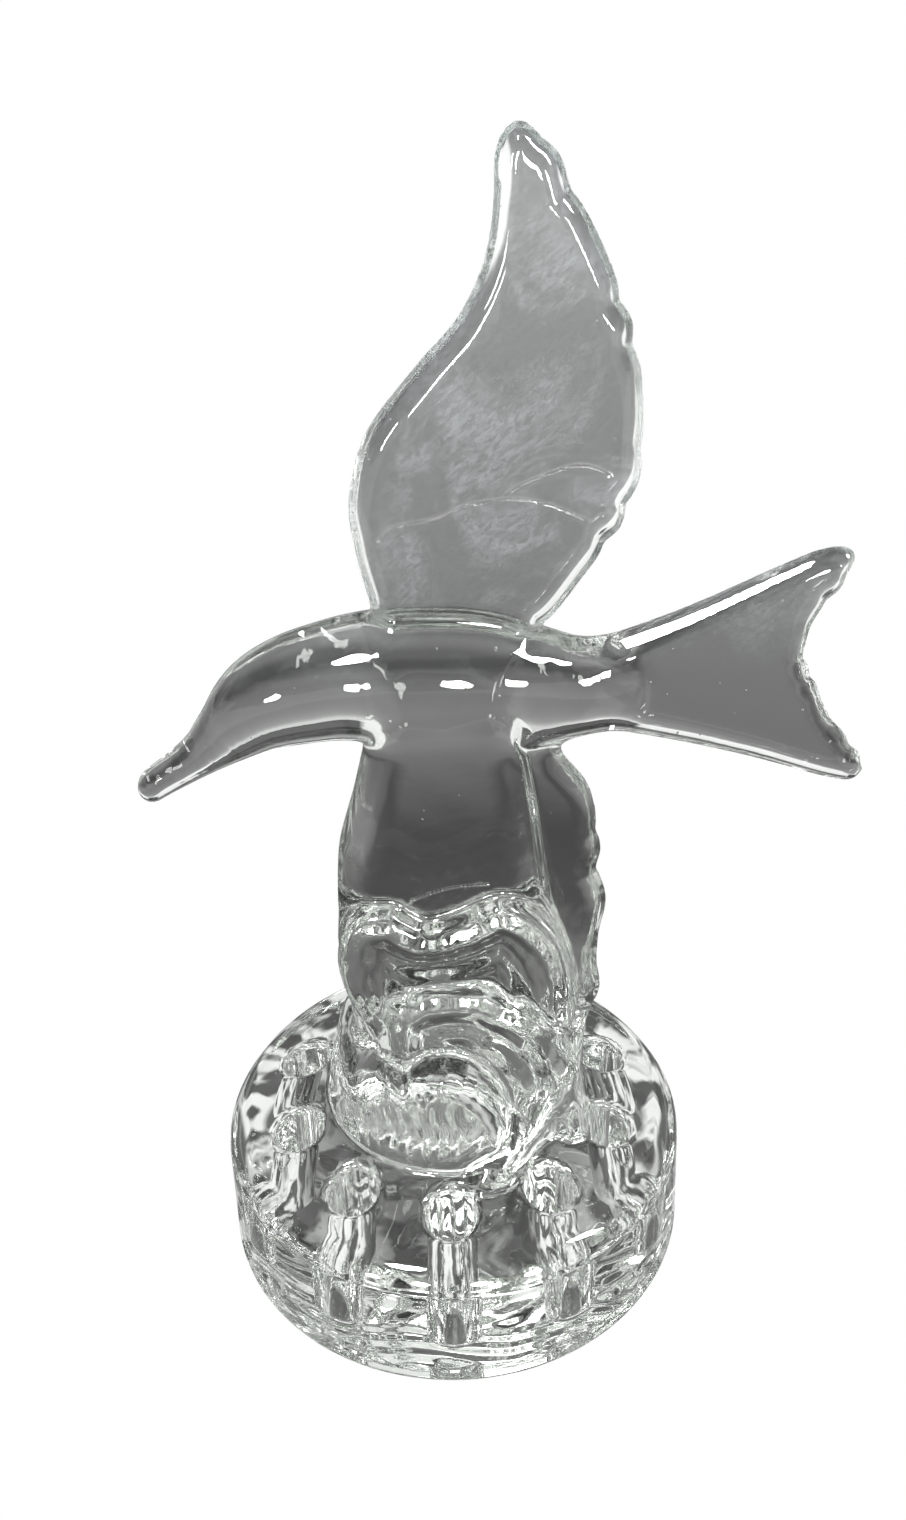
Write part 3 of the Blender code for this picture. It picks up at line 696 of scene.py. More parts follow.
def surface_net(pressing, spacing):
    """The zero surface of the pressing's distance as points and four-sided faces, one point for each grid
    cell that the surface passes through."""
    margin = NET_MARGIN * spacing
    wall = (HOLE_FLOOR + 2 * HOLE_FLOOR_ROUND, SEAM_HEIGHT - 2 * spacing, WALL_SPACING * spacing)
    seam = (SEAM_HEIGHT - spacing, SEAM_HEIGHT + spacing, SEAM_SPACING * spacing)
    axes = [
        grid_lines(low - margin, high + margin, spacing, stretches)
        for low, high, stretches in zip(NODE_LOW, NODE_HIGH, ((), (), (wall, seam)))
    ]
    shape = tuple(len(places) for places in axes)
    field = np.empty(shape)
    for start in range(0, shape[0], SLAB):
        across = axes[0][start : start + SLAB]
        slab = np.stack(np.meshgrid(across, axes[1], axes[2], indexing="ij"), axis=-1)
        field[start : start + SLAB] = pressing.distance(slab.reshape(-1, 3)).reshape(slab.shape[:3])

    inside = field < 0
    filled = np.zeros(tuple(n - 1 for n in shape), int)
    for offset in np.ndindex(2, 2, 2):
        filled += inside[tuple(slice(o, o + n - 1) for o, n in zip(offset, shape))]
    crossed = (filled > 0) & (filled < 8)
    cells = np.argwhere(crossed)
    index = np.full(crossed.shape, -1)
    index[crossed] = np.arange(len(cells))

    total = np.zeros((len(cells), 3))
    count = np.zeros(len(cells))
    for axis in range(3):
        for side in np.ndindex(2, 2):
            start = cells.copy()
            start[:, (axis + 1) % 3] += side[0]
            start[:, (axis + 2) % 3] += side[1]
            end = start.copy()
            end[:, axis] += 1
            here, there = field[tuple(start.T)], field[tuple(end.T)]
            crosses = (here < 0) != (there < 0)
            share = np.where(crosses, here / np.where(crosses, here - there, 1), 0)
            place = np.stack([axes[k][start[:, k]] for k in range(3)], axis=1)
            place[:, axis] += share * (axes[axis][end[:, axis]] - axes[axis][start[:, axis]])
            total += place * crosses[:, None]
            count += crosses
    points = total / count[:, None]

    faces = []
    for axis in range(3):
        across, up = (axis + 1) % 3, (axis + 2) % 3
        head = [slice(None)] * 3
        tail = [slice(None)] * 3
        head[axis], tail[axis] = slice(0, -1), slice(1, None)
        leaving = inside[tuple(head)]
        nodes = np.argwhere(leaving != inside[tuple(tail)])
        outwards = leaving[tuple(nodes.T)]
        corners = []
        for shift in ((1, 1), (0, 1), (0, 0), (1, 0)):
            corner = nodes.copy()
            corner[:, across] -= shift[0]
            corner[:, up] -= shift[1]
            corners.append(index[tuple(corner.T)])
        quads = np.stack(corners, axis=1)
        quads[~outwards] = quads[~outwards][:, ::-1]
        faces.append(quads)
    return points, np.concatenate(faces)


def evened(pressing, points, faces):
    """The points slid along the surface to even spacing, and settled back onto it."""
    pairs = np.concatenate([faces[:, [k, (k + 1) % 4]] for k in range(4)])
    pairs = np.concatenate([pairs, pairs[:, ::-1]])
    links = np.bincount(pairs[:, 0], minlength=len(points))
    for _ in range(EVENING_ROUNDS):
        middle = np.empty_like(points)
        for axis in range(3):
            middle[:, axis] = np.bincount(pairs[:, 0], points[pairs[:, 1], axis], len(points)) / links
        points = pressing.settle(points + EVENING_SHARE * (middle - points))
    return pressing.settle(points)


def mesh_of(points, faces):
    """A mesh from arrays. An edge that four faces share, where the net pinches, is closed to a point."""
    mesh = bpy.data.meshes.new("pressing")
    mesh.from_pydata(points.tolist(), [], faces.tolist())
    mesh.validate()
    work = bmesh.new()
    work.from_mesh(mesh)
    pinched = [edge for edge in work.edges if len(edge.link_faces) > 2]
    bmesh.ops.collapse(work, edges=pinched)
    work.to_mesh(mesh)
    work.free()
    return mesh


def vertex_places(work):
    """The places of a working mesh's points, as an array."""
    work.verts.ensure_lookup_table()
    return np.array([vertex.co for vertex in work.verts])


def cut_finer(work, chosen):
    """Cuts the faces whose points are chosen, by a row of flags, into four. Gives the points on them."""
    close = {work.verts[k] for k in np.nonzero(chosen)[0]}
    edges = [edge for edge in work.edges if edge.verts[0] in close and edge.verts[1] in close]
    cut = bmesh.ops.subdivide_edges(work, edges=edges, cuts=1, use_grid_fill=True)
    return [item for item in cut["geom_inner"] if isinstance(item, bmesh.types.BMVert)]


def settle_vertices(pressing, vertices):
    """Moves these points of a working mesh onto the glass's surface."""
    places = np.array([vertex.co for vertex in vertices])
    for vertex, place in zip(vertices, pressing.settle(pressing.settle(places))):
        vertex.co = place


def refine_corners(mesh, pressing):
    """Cuts the faces round the foot's edge and the stem holes' floors finer, because the block mirrors and
    magnifies them."""
    work = bmesh.new()
    work.from_mesh(mesh)
    points = vertex_places(work)
    inwards, height = FOOT_RADIUS - np.hypot(points[:, 0], points[:, 1]), points[:, 2]
    reach = CORNER_REACH * FOOT_ROUND
    foot = (inwards < reach) & (height < reach)
    floors = (height > FLOOR_REACH * HOLE_FLOOR) & (height < HOLE_FLOOR + HOLE_FLOOR_ROUND)
    settle_vertices(pressing, cut_finer(work, foot | floors & (inwards > reach)))
    work.to_mesh(mesh)
    work.free()


def refine_wrinkles(mesh, pressing, width):
    """Cuts the faces near the chill wrinkles finer, so that the folds show in them."""
    work = bmesh.new()
    work.from_mesh(mesh)
    for reach in WRINKLE_CUTS:
        cut_finer(work, pressing.near_wrinkle(vertex_places(work)) < reach * width)
    gap = pressing.near_wrinkle(vertex_places(work))
    settle_vertices(pressing, [work.verts[k] for k in np.nonzero(gap < WRINKLE_REACH)[0]])
    work.to_mesh(mesh)
    work.free()


def smooth_shading(mesh, pressing):
    """Gives each point of the pressing the true direction of its surface, so that the glass bends light as
    the smooth form does. The seeds keep the directions of their own faces."""
    points = np.empty(3 * len(mesh.vertices))
    mesh.vertices.foreach_get("co", points)
    points = points.reshape(-1, 3)
    normals = np.empty(3 * len(mesh.vertices))
    mesh.vertex_normals.foreach_get("vector", normals)
    normals = normals.reshape(-1, 3)
    surface = np.abs(pressing.distance(points)) < ON_SURFACE
    slopes = pressing.gradient(points[surface])
    normals[surface] = slopes / np.linalg.norm(slopes, axis=1)[:, None]
    mesh.normals_split_custom_set_from_vertices(normals.tolist())


def fill_inputs(tree, node, values):
    """Gives a node's inputs plain values, or links from other nodes' outputs."""
    for name, value in values.items():
        socket = node.inputs[name]
        if isinstance(value, bpy.types.NodeSocket):
            tree.links.new(value, socket)
        else:
            socket.default_value = value


def add_node(tree, kind, place, values=None, **settings):
    """A node with its settings, its inputs and where it stands in the tree."""
    node = tree.nodes.new(kind)
    node.location = place
    for name, value in settings.items():
        setattr(node, name, value)
    fill_inputs(tree, node, values or {})
    return node


def seed_tree():
    """Geometry Nodes that scatter seeds, the small bubbles left by the melt, just inside a surface."""
    tree = bpy.data.node_groups.new("seeds_in_glass", "GeometryNodeTree")
    face = tree.interface
    face.new_socket("Glass", in_out="INPUT", socket_type="NodeSocketGeometry")
    for name in ("Per Square Metre", "Least Depth", "Most Depth", "Least Radius", "Most Radius"):
        face.new_socket(name, in_out="INPUT", socket_type="NodeSocketFloat")
    face.new_socket("Seed", in_out="INPUT", socket_type="NodeSocketInt")
    face.new_socket("Material", in_out="INPUT", socket_type="NodeSocketMaterial")
    face.new_socket("Glass", in_out="OUTPUT", socket_type="NodeSocketGeometry")
    given = add_node(tree, "NodeGroupInput", (-900, 0)).outputs
    points = add_node(
        tree,
        "GeometryNodeDistributePointsOnFaces",
        (-650, 100),
        {"Mesh": given["Glass"], "Density": given["Per Square Metre"], "Seed": given["Seed"]},
    ).outputs
    depth, radius = (
        add_node(
            tree,
            "FunctionNodeRandomValue",
            place,
            {"Min": given[f"Least {size}"], "Max": given[f"Most {size}"], "Seed": given["Seed"]},
            data_type="FLOAT",
        ).outputs["Value"]
        for size, place in (("Depth", (-650, -200)), ("Radius", (-280, -450)))
    )
    inwards = add_node(tree, "ShaderNodeMath", (-450, -200), {0: depth, 1: -1.0}, operation="MULTIPLY")
    offset = add_node(
        tree,
        "ShaderNodeVectorMath",
        (-280, -200),
        {0: points["Normal"], "Scale": inwards.outputs["Value"]},
        operation="SCALE",
    )
    sunk = add_node(
        tree,
        "GeometryNodeSetPosition",
        (-100, 100),
        {"Geometry": points["Points"], "Offset": offset.outputs["Vector"]},
    )
    bubble = add_node(tree, "GeometryNodeMeshIcoSphere", (-100, -100), {"Radius": 1.0, "Subdivisions": 1})
    placed = add_node(
        tree,
        "GeometryNodeInstanceOnPoints",
        (100, 100),
        {"Points": sunk.outputs["Geometry"], "Instance": bubble.outputs["Mesh"], "Scale": radius},
    )
    real = add_node(
        tree, "GeometryNodeRealizeInstances", (300, 100), {"Geometry": placed.outputs["Instances"]}
    )
    hollow = add_node(tree, "GeometryNodeFlipFaces", (480, 100), {"Mesh": real.outputs["Geometry"]})
    joined = add_node(tree, "GeometryNodeJoinGeometry", (660, 0), {0: hollow.outputs["Mesh"]})
    tree.links.new(given["Glass"], joined.inputs[0])
    smooth = add_node(tree, "GeometryNodeSetShadeSmooth", (840, 0), {0: joined.outputs[0]})
    glazed = add_node(
        tree,
        "GeometryNodeSetMaterial",
        (1020, 0),
        {"Geometry": smooth.outputs[0], "Material": given["Material"]},
    )
    add_node(tree, "NodeGroupOutput", (1200, 0), {"Glass": glazed.outputs["Geometry"]})
    return tree


def with_seeds(piece, settings, material):
    """The piece's mesh with the seeds' hollows in it."""
    tree = seed_tree()
    modifier = piece.modifiers.new("seeds", "NODES")
    modifier.node_group = tree
    values = {
        "Per Square Metre": settings.seeds_per_square_metre,
        "Least Depth": settings.seed_depth * SEED_LEAST_DEPTH,
        "Most Depth": settings.seed_depth,
        "Least Radius": settings.seed_radius * SEED_LEAST_RADIUS,
        "Most Radius": settings.seed_radius,
        "Seed": SEED_DRAW,
        "Material": material,
    }
    for item in tree.interface.items_tree:
        if item.item_type == "SOCKET" and item.in_out == "INPUT" and item.name in values:
            modifier[item.identifier] = values[item.name]
    bpy.context.view_layer.update()
    graph = bpy.context.evaluated_depsgraph_get()
    mesh = bpy.data.meshes.new_from_object(piece.evaluated_get(graph))
    piece.modifiers.remove(modifier)
    old = piece.data
    piece.data = mesh
    bpy.data.meshes.remove(old)


def handling_film(tree, place, haze, settings):
    """How strong the pale film of handling is: short slanting strokes, in the same patches as the haze, on
    what stands above the bird's body."""
    slanted = add_node(
        tree,
        "ShaderNodeMapping",
        (-1050, 400),
        {"Vector": place, "Rotation": (0.0, STROKE_LEAN, 0.0), "Scale": (1.0, 1.0, STROKE_LENGTH)},
        vector_type="TEXTURE",
    ).outputs["Vector"]
    strokes = add_node(
        tree,
        "ShaderNodeTexNoise",
        (-850, 400),
        {"Vector": slanted, "Scale": STROKES_A_PATCH / settings.haze_size, **STROKE_NOISE},
    ).outputs["Fac"]
    height = add_node(tree, "ShaderNodeSeparateXYZ", (-1050, 800), {0: place}).outputs["Z"]
    body_top = {"From Min": BODY_AXIS_HEIGHT, "From Max": BODY_AXIS_HEIGHT + 2 * BODY_RADIUS}
    film, cover, handled = (
        add_node(tree, "ShaderNodeMapRange", (-650, rise), {"Value": value, **reach}).outputs["Result"]
        for rise, value, reach in (
            (400, strokes, STROKE_RANGE),
            (650, haze, FILM_RANGE),
            (900, height, {**body_top, "To Min": 0.0, "To Max": settings.film}),
        )
    )
    for across, factor in ((-420, cover), (-240, handled)):
        film = add_node(
            tree, "ShaderNodeMath", (across, 500), {0: film, 1: factor}, operation="MULTIPLY"
        ).outputs["Value"]
    return film


def pressed_glass(settings):
    """Clear soda-lime glass, pressed and fire-polished: sharp see-through faces with faint hazy patches, a
    pale film on the wing that it is picked up by, the mould's fine skin, and a trace of green-grey only
    where it is thick."""
    material = bpy.data.materials.new("clear_pressed_glass")
    material.use_nodes = True
    tree = material.node_tree
    place = add_node(tree, "ShaderNodeTexCoord", (-1300, 0)).outputs["Object"]
    haze = add_node(
        tree,
        "ShaderNodeTexNoise",
        (-1050, 100),
        {"Vector": place, "Scale": 1 / settings.haze_size, **HAZE_NOISE},
    ).outputs["Fac"]
    patches = add_node(
        tree, "ShaderNodeMapRange", (-800, 100), {"Value": haze, **HAZE_RANGE, "To Max": settings.haze}
    )
    grain = add_node(
        tree,
        "ShaderNodeTexNoise",
        (-1050, -250),
        {"Vector": place, "Scale": 1 / settings.skin_size, **SKIN_NOISE},
    )
    skin = add_node(
        tree,
        "ShaderNodeBump",
        (-700, -250),
        {"Height": grain.outputs["Fac"], "Strength": settings.skin, "Distance": SKIN_DEPTH},
    )
    body = add_node(
        tree,
        "ShaderNodeVolumeAbsorption",
        (0, -300),
        {"Color": tuple(settings.body_colour) + (1.0,), "Density": settings.body_density},
    )
    surface = {
        "Base Color": tuple(settings.tint) + (1.0,),
        "IOR": settings.ior,
        "Transmission Weight": 1.0,
        "Metallic": 0.0,
        "Roughness": patches.outputs["Result"],
        "Sheen Weight": handling_film(tree, place, haze, settings),
        "Sheen Roughness": FILM_ROUGHNESS,
        "Sheen Tint": linear(FILM_COLOUR),
        "Normal": skin.outputs["Normal"],
    }
    fill_inputs(tree, tree.nodes["Principled BSDF"], surface)
    fill_inputs(tree, tree.nodes["Material Output"], {"Volume": body.outputs["Volume"]})
    return material


class FrogGlassSettings(bpy.types.PropertyGroup):
    """How the frog is pressed and what it is made of."""

    spacing: bpy.props.FloatProperty(
        name="Mesh spacing", description="Size of a face of the pressing", default=0.00098, unit="LENGTH"
    )
    fillet: bpy.props.FloatProperty(
        name="Fillet", description="Reach of the blend where forms meet", default=0.0042, unit="LENGTH"
    )
    seam_proud: bpy.props.FloatProperty(
        name="Seam height",
        description="Height of the mould line on the wall",
        default=0.00022,
        unit="LENGTH",
    )
    seam_width: bpy.props.FloatProperty(
        name="Seam width", description="Half width of the mould line", default=0.00055, unit="LENGTH"
    )
    ripple: bpy.props.FloatProperty(
        name="Ripple", description="Unevenness of the fire-polished faces", default=0.00003, unit="LENGTH"
    )
    chill: bpy.props.FloatProperty(
        name="Chill", description="Unevenness of the thick glass's faces", default=0.00007, unit="LENGTH"
    )
    unevenness: bpy.props.FloatProperty(
        name="Underside", description="Unevenness of the underside's hollow", default=0.00016, unit="LENGTH"
    )
    flute: bpy.props.FloatProperty(
        name="Flutes",
        description="Depth of the streaks down the stem holes",
        default=0.00003,
        unit="LENGTH",
    )
    wrinkle_depth: bpy.props.FloatProperty(
        name="Wrinkle depth", description="Depth of the chill wrinkles", default=0.00018, unit="LENGTH"
    )
    wrinkle_width: bpy.props.FloatProperty(
        name="Wrinkle width", description="Half width of the chill wrinkles", default=0.00034, unit="LENGTH"
    )
    seeds_per_square_metre: bpy.props.FloatProperty(
        name="Seeds", description="Bubbles for each square metre of surface", default=3500.0
    )
    seed_depth: bpy.props.FloatProperty(
        name="Seed depth", description="Deepest bubble under the surface", default=0.0030, unit="LENGTH"
    )
    seed_radius: bpy.props.FloatProperty(
        name="Seed radius", description="Radius of the largest bubble", default=0.00028, unit="LENGTH"
    )
    tint: bpy.props.FloatVectorProperty(
        name="Tint", description="Colour of the surface", subtype="COLOR", default=linear("#FDFEFD")[:3]
    )
    ior: bpy.props.FloatProperty(
        name="IOR", description="Refractive index of soda-lime glass", default=1.52
    )
    haze: bpy.props.FloatProperty(
        name="Haze", description="Roughness of the scuffed patches", default=0.07, subtype="FACTOR"
    )
    film: bpy.props.FloatProperty(
        name="Film",
        description="Strength of the pale film on the scuffed patches",
        default=0.3,
        subtype="FACTOR",
    )
    haze_size: bpy.props.FloatProperty(
        name="Haze size", description="Size of the scuffed patches", default=0.022, unit="LENGTH"
    )
    skin: bpy.props.FloatProperty(
        name="Skin", description="Strength of the fine mould texture", default=0.05, subtype="FACTOR"
    )
    skin_size: bpy.props.FloatProperty(
        name="Skin size", description="Size of the fine mould texture", default=0.0025, unit="LENGTH"
    )
    body_colour: bpy.props.FloatVectorProperty(
        name="Body colour",
        description="Colour of thick glass",
        subtype="COLOR",
        default=(0.86, 0.92, 0.845),
    )
    body_density: bpy.props.FloatProperty(
        name="Body density", description="How fast thick glass takes on its colour", default=5.0
    )


class FrogStageSettings(bpy.types.PropertyGroup):
    """The floor, the light and the camera."""

    floor_size: bpy.props.FloatProperty(
        name="Floor size", description="Width of the floor", default=6.0, unit="LENGTH"
    )
    floor_pale: bpy.props.FloatVectorProperty(
        name="Floor",
        description="The pale floor as it is seen",
        subtype="COLOR",
        default=linear("#FFFFFF")[:3],
    )
    floor_aside: bpy.props.FloatProperty(
        name="Floor aside",
        description="How far to the sides the floor turns white",
        default=0.22,
        unit="LENGTH",
    )
    # painted patches of gathered light on the floor, seen through the glass
    caustic_size: bpy.props.FloatProperty(
        name="Caustics",
        description="Size of the light patches under the block",
        default=0.012,
        unit="LENGTH",
    )
    # painted shade on the floor under each stem hole, seen through the glass
    hole_shade: bpy.props.FloatProperty(
        name="Hole shade",
        description="Strength of the floor under a stem hole",
        default=0.35,
        subtype="FACTOR",
    )
    key_power: bpy.props.FloatProperty(
        name="Key power", description="Power of the main soft light", default=24.0, subtype="POWER"
    )


CAMERA_PLACE = Vector((0.0, -0.270917, 0.308543))
CAMERA_PITCH = math.radians(34.310)  # down from level
CAMERA_YAW = math.radians(0.584)  # to the right
CAMERA_ROLL = math.radians(-2.0)
CAMERA_LENS = 40.26
CAMERA_SENSOR = 36.0
CAMERA_NEAREST = 0.01
BOUNCES = 32
GLOSSY_BOUNCES = 16

# Place, height of the point that it is aimed at, size, and share of the key light's power
LIGHTS = {
    "key": ((-0.3, -0.5, 0.9), 0.12, (0.22, 0.30), 1.0),
    "fill": ((0.7, -0.3, 0.7), 0.12, (0.12, 0.40), 0.6),
    "back": ((-0.2, 0.8, 1.1), 0.12, (0.90, 0.30), 0.08),
    "strip_1": ((-0.75, -1.0, 0.27), 0.14, (0.14, 0.24), 0.2),
    "strip_2": ((-0.30, -1.0, 0.27), 0.14, (0.14, 0.24), 0.2),
    "strip_3": ((0.15, -1.0, 0.27), 0.14, (0.14, 0.24), 0.2),
    "strip_4": ((0.60, -1.0, 0.27), 0.14, (0.14, 0.24), 0.2),
}

# Greys that the glass shows: distance from the object's axis and level on the floor, height and level of
# the room round it. The floor's levels are painted light and shade: a painted pool of gathered light under
# the block's rim, painted shade under its middle, and the object's painted shadow round it, paler with
# distance.
PAINTED_FLOOR_LIGHT_AND_SHADE = (
    (0.000, 0.05), (0.020, 0.07), (0.032, 0.22), (0.044, 0.55), (0.052, 0.36), (0.060, 0.20),
    (0.088, 0.17), (0.115, 0.08), (0.150, 0.065), (0.190, 0.16), (0.300, 0.21), (0.500, 0.26),
    (0.900, 0.36), (1.500, 0.70),
)
ROOM_LEVELS = (
    (0.00, 0.95), (0.09, 0.90), (0.13, 0.15), (0.30, 0.08), (0.40, 0.50), (0.50, 0.45),
    (0.56, 0.10), (0.70, 0.20), (0.80, 0.95), (1.00, 0.95),
)
ROOM_FLAGS = 6  # black flags round the set, which draw the glass's edges
FLAG_TURN = 0.9  # where the first one stands, in radians of its swing
FLAG_RANGE = {"From Min": -0.3, "From Max": 0.1, "To Min": 0.12, "To Max": 1.0}
FLAG_TOP = {"From Min": 0.3, "From Max": 0.5}
WHITE = (1.0, 1.0, 1.0, 1.0)
FLOOR_GAP = 0.0001  # between the object and the floor
ASIDE_END = 1.4  # where the floor is white, as a share of where it starts to turn
# The floor's painted patches of gathered light, and the painted shade under the stem holes
CAUSTIC_NOISE = {"Detail": 2.0, "Roughness": 0.5, "Distortion": 1.5}
CAUSTIC_RANGE = {"From Min": 0.43, "From Max": 0.58, "To Min": 0.2, "To Max": 2.1}
CAUSTIC_END = 1.25  # in radii of the foot
HOLE_SHADE_RANGE = {"From Min": HOLE_RADIUS * 1.1, "From Max": HOLE_RADIUS * 1.4}


def make_camera():
    """The camera where the photograph was taken from."""
    data = bpy.data.cameras.new("camera")
    data.lens = CAMERA_LENS
    data.sensor_width = CAMERA_SENSOR
    data.clip_start = CAMERA_NEAREST
    camera = bpy.data.objects.new("camera", data)
    bpy.context.collection.objects.link(camera)
    aim = Euler((math.pi / 2 - CAMERA_PITCH, 0.0, -CAMERA_YAW)).to_matrix()
    aim = aim @ Matrix.Rotation(CAMERA_ROLL, 3, "Z")
    camera.matrix_world = Matrix.Translation(CAMERA_PLACE) @ aim.to_4x4()
    bpy.context.scene.camera = camera


def grey_ramp(tree, place, value, levels):
    """A ramp of greys over this value. levels has pairs of a value and its linear grey."""
    ramp = add_node(tree, "ShaderNodeValToRGB", place, {0: value})
    stops = ramp.color_ramp.elements
    reach = levels[-1][0]
    while len(stops) < len(levels):
        stops.new(1.0)
    for stop, (position, level) in zip(stops, levels):
        stop.position = position / reach
        stop.color = (level, level, level, 1.0)
    return ramp.outputs["Color"]


def seen_or_through(tree, output, seen, through):
    """Ends a tree so that the camera sees one shader straight and the glass shows the other."""
    straight = add_node(tree, "ShaderNodeLightPath", (-200, 400)).outputs["Is Camera Ray"]
    both = {0: straight, 1: through.outputs[0], 2: seen.outputs[0]}
    either = add_node(tree, "ShaderNodeMixShader", (50, 0), both)
    add_node(tree, output, (250, 0), {"Surface": either.outputs[0]})


def floor_greys(tree, place, radius, settings):
    """The floor's painted light and shade with distance from the object, turning white far to the sides."""
    reach = {"From Min": 0.0, "From Max": PAINTED_FLOOR_LIGHT_AND_SHADE[-1][0]}
    share = add_node(tree, "ShaderNodeMapRange", (-620, -100), {"Value": radius, **reach}).outputs["Result"]
    ramp = grey_ramp(tree, (-440, -100), share, PAINTED_FLOOR_LIGHT_AND_SHADE)
    across = add_node(tree, "ShaderNodeSeparateXYZ", (-800, -400), {0: place}).outputs["X"]
    aside = add_node(tree, "ShaderNodeMath", (-620, -400), {0: across}, operation="ABSOLUTE")
    turning = {"From Min": settings.floor_aside, "From Max": settings.floor_aside * ASIDE_END}
    side = add_node(
        tree,
        "ShaderNodeMapRange",
        (-440, -400),
        {"Value": aside.outputs["Value"], **turning},
        interpolation_type="SMOOTHSTEP",
    ).outputs["Result"]
    return add_node(
        tree, "ShaderNodeMix", (-300, -200), {"Factor": side, "A": ramp, "B": WHITE}, data_type="RGBA"
    ).outputs["Result"]


def light_patches(tree, place, radius, settings):
    """Painted light: the light that the block gathers under itself, painted as patches in the floor's glow,
    and none past its foot.
    """
    broken = add_node(
        tree,
        "ShaderNodeTexNoise",
        (-620, -650),
        {"Vector": place, "Scale": 1 / settings.caustic_size, **CAUSTIC_NOISE},
    ).outputs["Fac"]
    patches = add_node(
        tree,
        "ShaderNodeMapRange",
        (-440, -650),
        {"Value": broken, **CAUSTIC_RANGE},
        interpolation_type="SMOOTHSTEP",
    ).outputs["Result"]
    foot = {"From Min": FOOT_RADIUS, "From Max": FOOT_RADIUS * CAUSTIC_END}
    past = add_node(tree, "ShaderNodeMapRange", (-440, -900), {"Value": radius, **foot}).outputs["Result"]
    return add_node(
        tree, "ShaderNodeMix", (-300, -650), {"Factor": past, "A": patches, "B": 1.0}, data_type="FLOAT"
    ).outputs["Result"]


def off_the_holes(tree, place, radius):
    """Where the painted shade under the stem holes falls: 0 on the floor under a stem hole and 1 away from
    them. The places are folded onto the first hole's sector, so that one distance does for all."""
    parts = add_node(tree, "ShaderNodeSeparateXYZ", (-1800, -1200), {0: place}).outputs
    half = math.pi / HOLE_COUNT
    turn = parts["Y"]
    for step, (operation, others) in enumerate(
        (("ARCTAN2", {1: parts["X"]}), ("SUBTRACT", {1: HOLE_TURN}), ("WRAP", {1: half, 2: -half}))
    ):
        turn = add_node(
            tree, "ShaderNodeMath", (-1640 + 160 * step, -1200), {0: turn, **others}, operation=operation
        ).outputs[0]
    cosine, sine = (
        add_node(tree, "ShaderNodeMath", (-1160, rise), {0: turn}, operation=operation).outputs[0]
        for operation, rise in (("COSINE", -1100), ("SINE", -1300))
    )
    way = add_node(tree, "ShaderNodeCombineXYZ", (-1000, -1200), {"X": cosine, "Y": sine}).outputs[0]
    folded = add_node(
        tree, "ShaderNodeVectorMath", (-840, -1200), {0: way, "Scale": radius}, operation="SCALE"
    ).outputs[0]
    gap = add_node(
        tree,
        "ShaderNodeVectorMath",
        (-680, -1200),
        {0: folded, 1: (HOLE_RING, 0.0, 0.0)},
        operation="DISTANCE",
    ).outputs["Value"]
    values = {"Value": gap, **HOLE_SHADE_RANGE}
    return add_node(tree, "ShaderNodeMapRange", (-520, -1200), values).outputs["Result"]


def make_floor(settings):
    """A plain pale floor. Seen straight it is white. The glass shows it in greys like the photograph's, all
    painted into its glow: painted patches of gathered light between the painted shade under the stem holes,
    the object's painted shadow, and paler with distance."""
    bpy.ops.mesh.primitive_plane_add(size=settings.floor_size, location=(0.0, 0.0, -FLOOR_GAP))
    floor = bpy.context.object
    floor.name = "studio_floor"
    material = bpy.data.materials.new("pale_paper")
    material.use_nodes = True
    tree = material.node_tree
    tree.nodes.clear()
    paper = {"Color": tuple(settings.floor_pale) + (1.0,), "Strength": 1.0}
    seen = add_node(tree, "ShaderNodeEmission", (-200, 100), paper)
    place = add_node(tree, "ShaderNodeTexCoord", (-1000, -100)).outputs["Object"]
    radius = add_node(
        tree, "ShaderNodeVectorMath", (-800, -100), {0: place}, operation="LENGTH"
    ).outputs["Value"]
    # painted light and shade in the floor's glow: patches of gathered light, dimmed to painted shade under
    # the stem holes
    light = {
        "Factor": off_the_holes(tree, place, radius),
        "A": settings.hole_shade,
        "B": light_patches(tree, place, radius, settings),
    }
    gathered = add_node(tree, "ShaderNodeMix", (-150, -650), light, data_type="FLOAT").outputs["Result"]
    greys = {"Color": floor_greys(tree, place, radius, settings), "Strength": gathered}
    through = add_node(tree, "ShaderNodeEmission", (-150, -100), greys)
    seen_or_through(tree, "ShaderNodeOutputMaterial", seen, through)
    floor.data.materials.append(material)


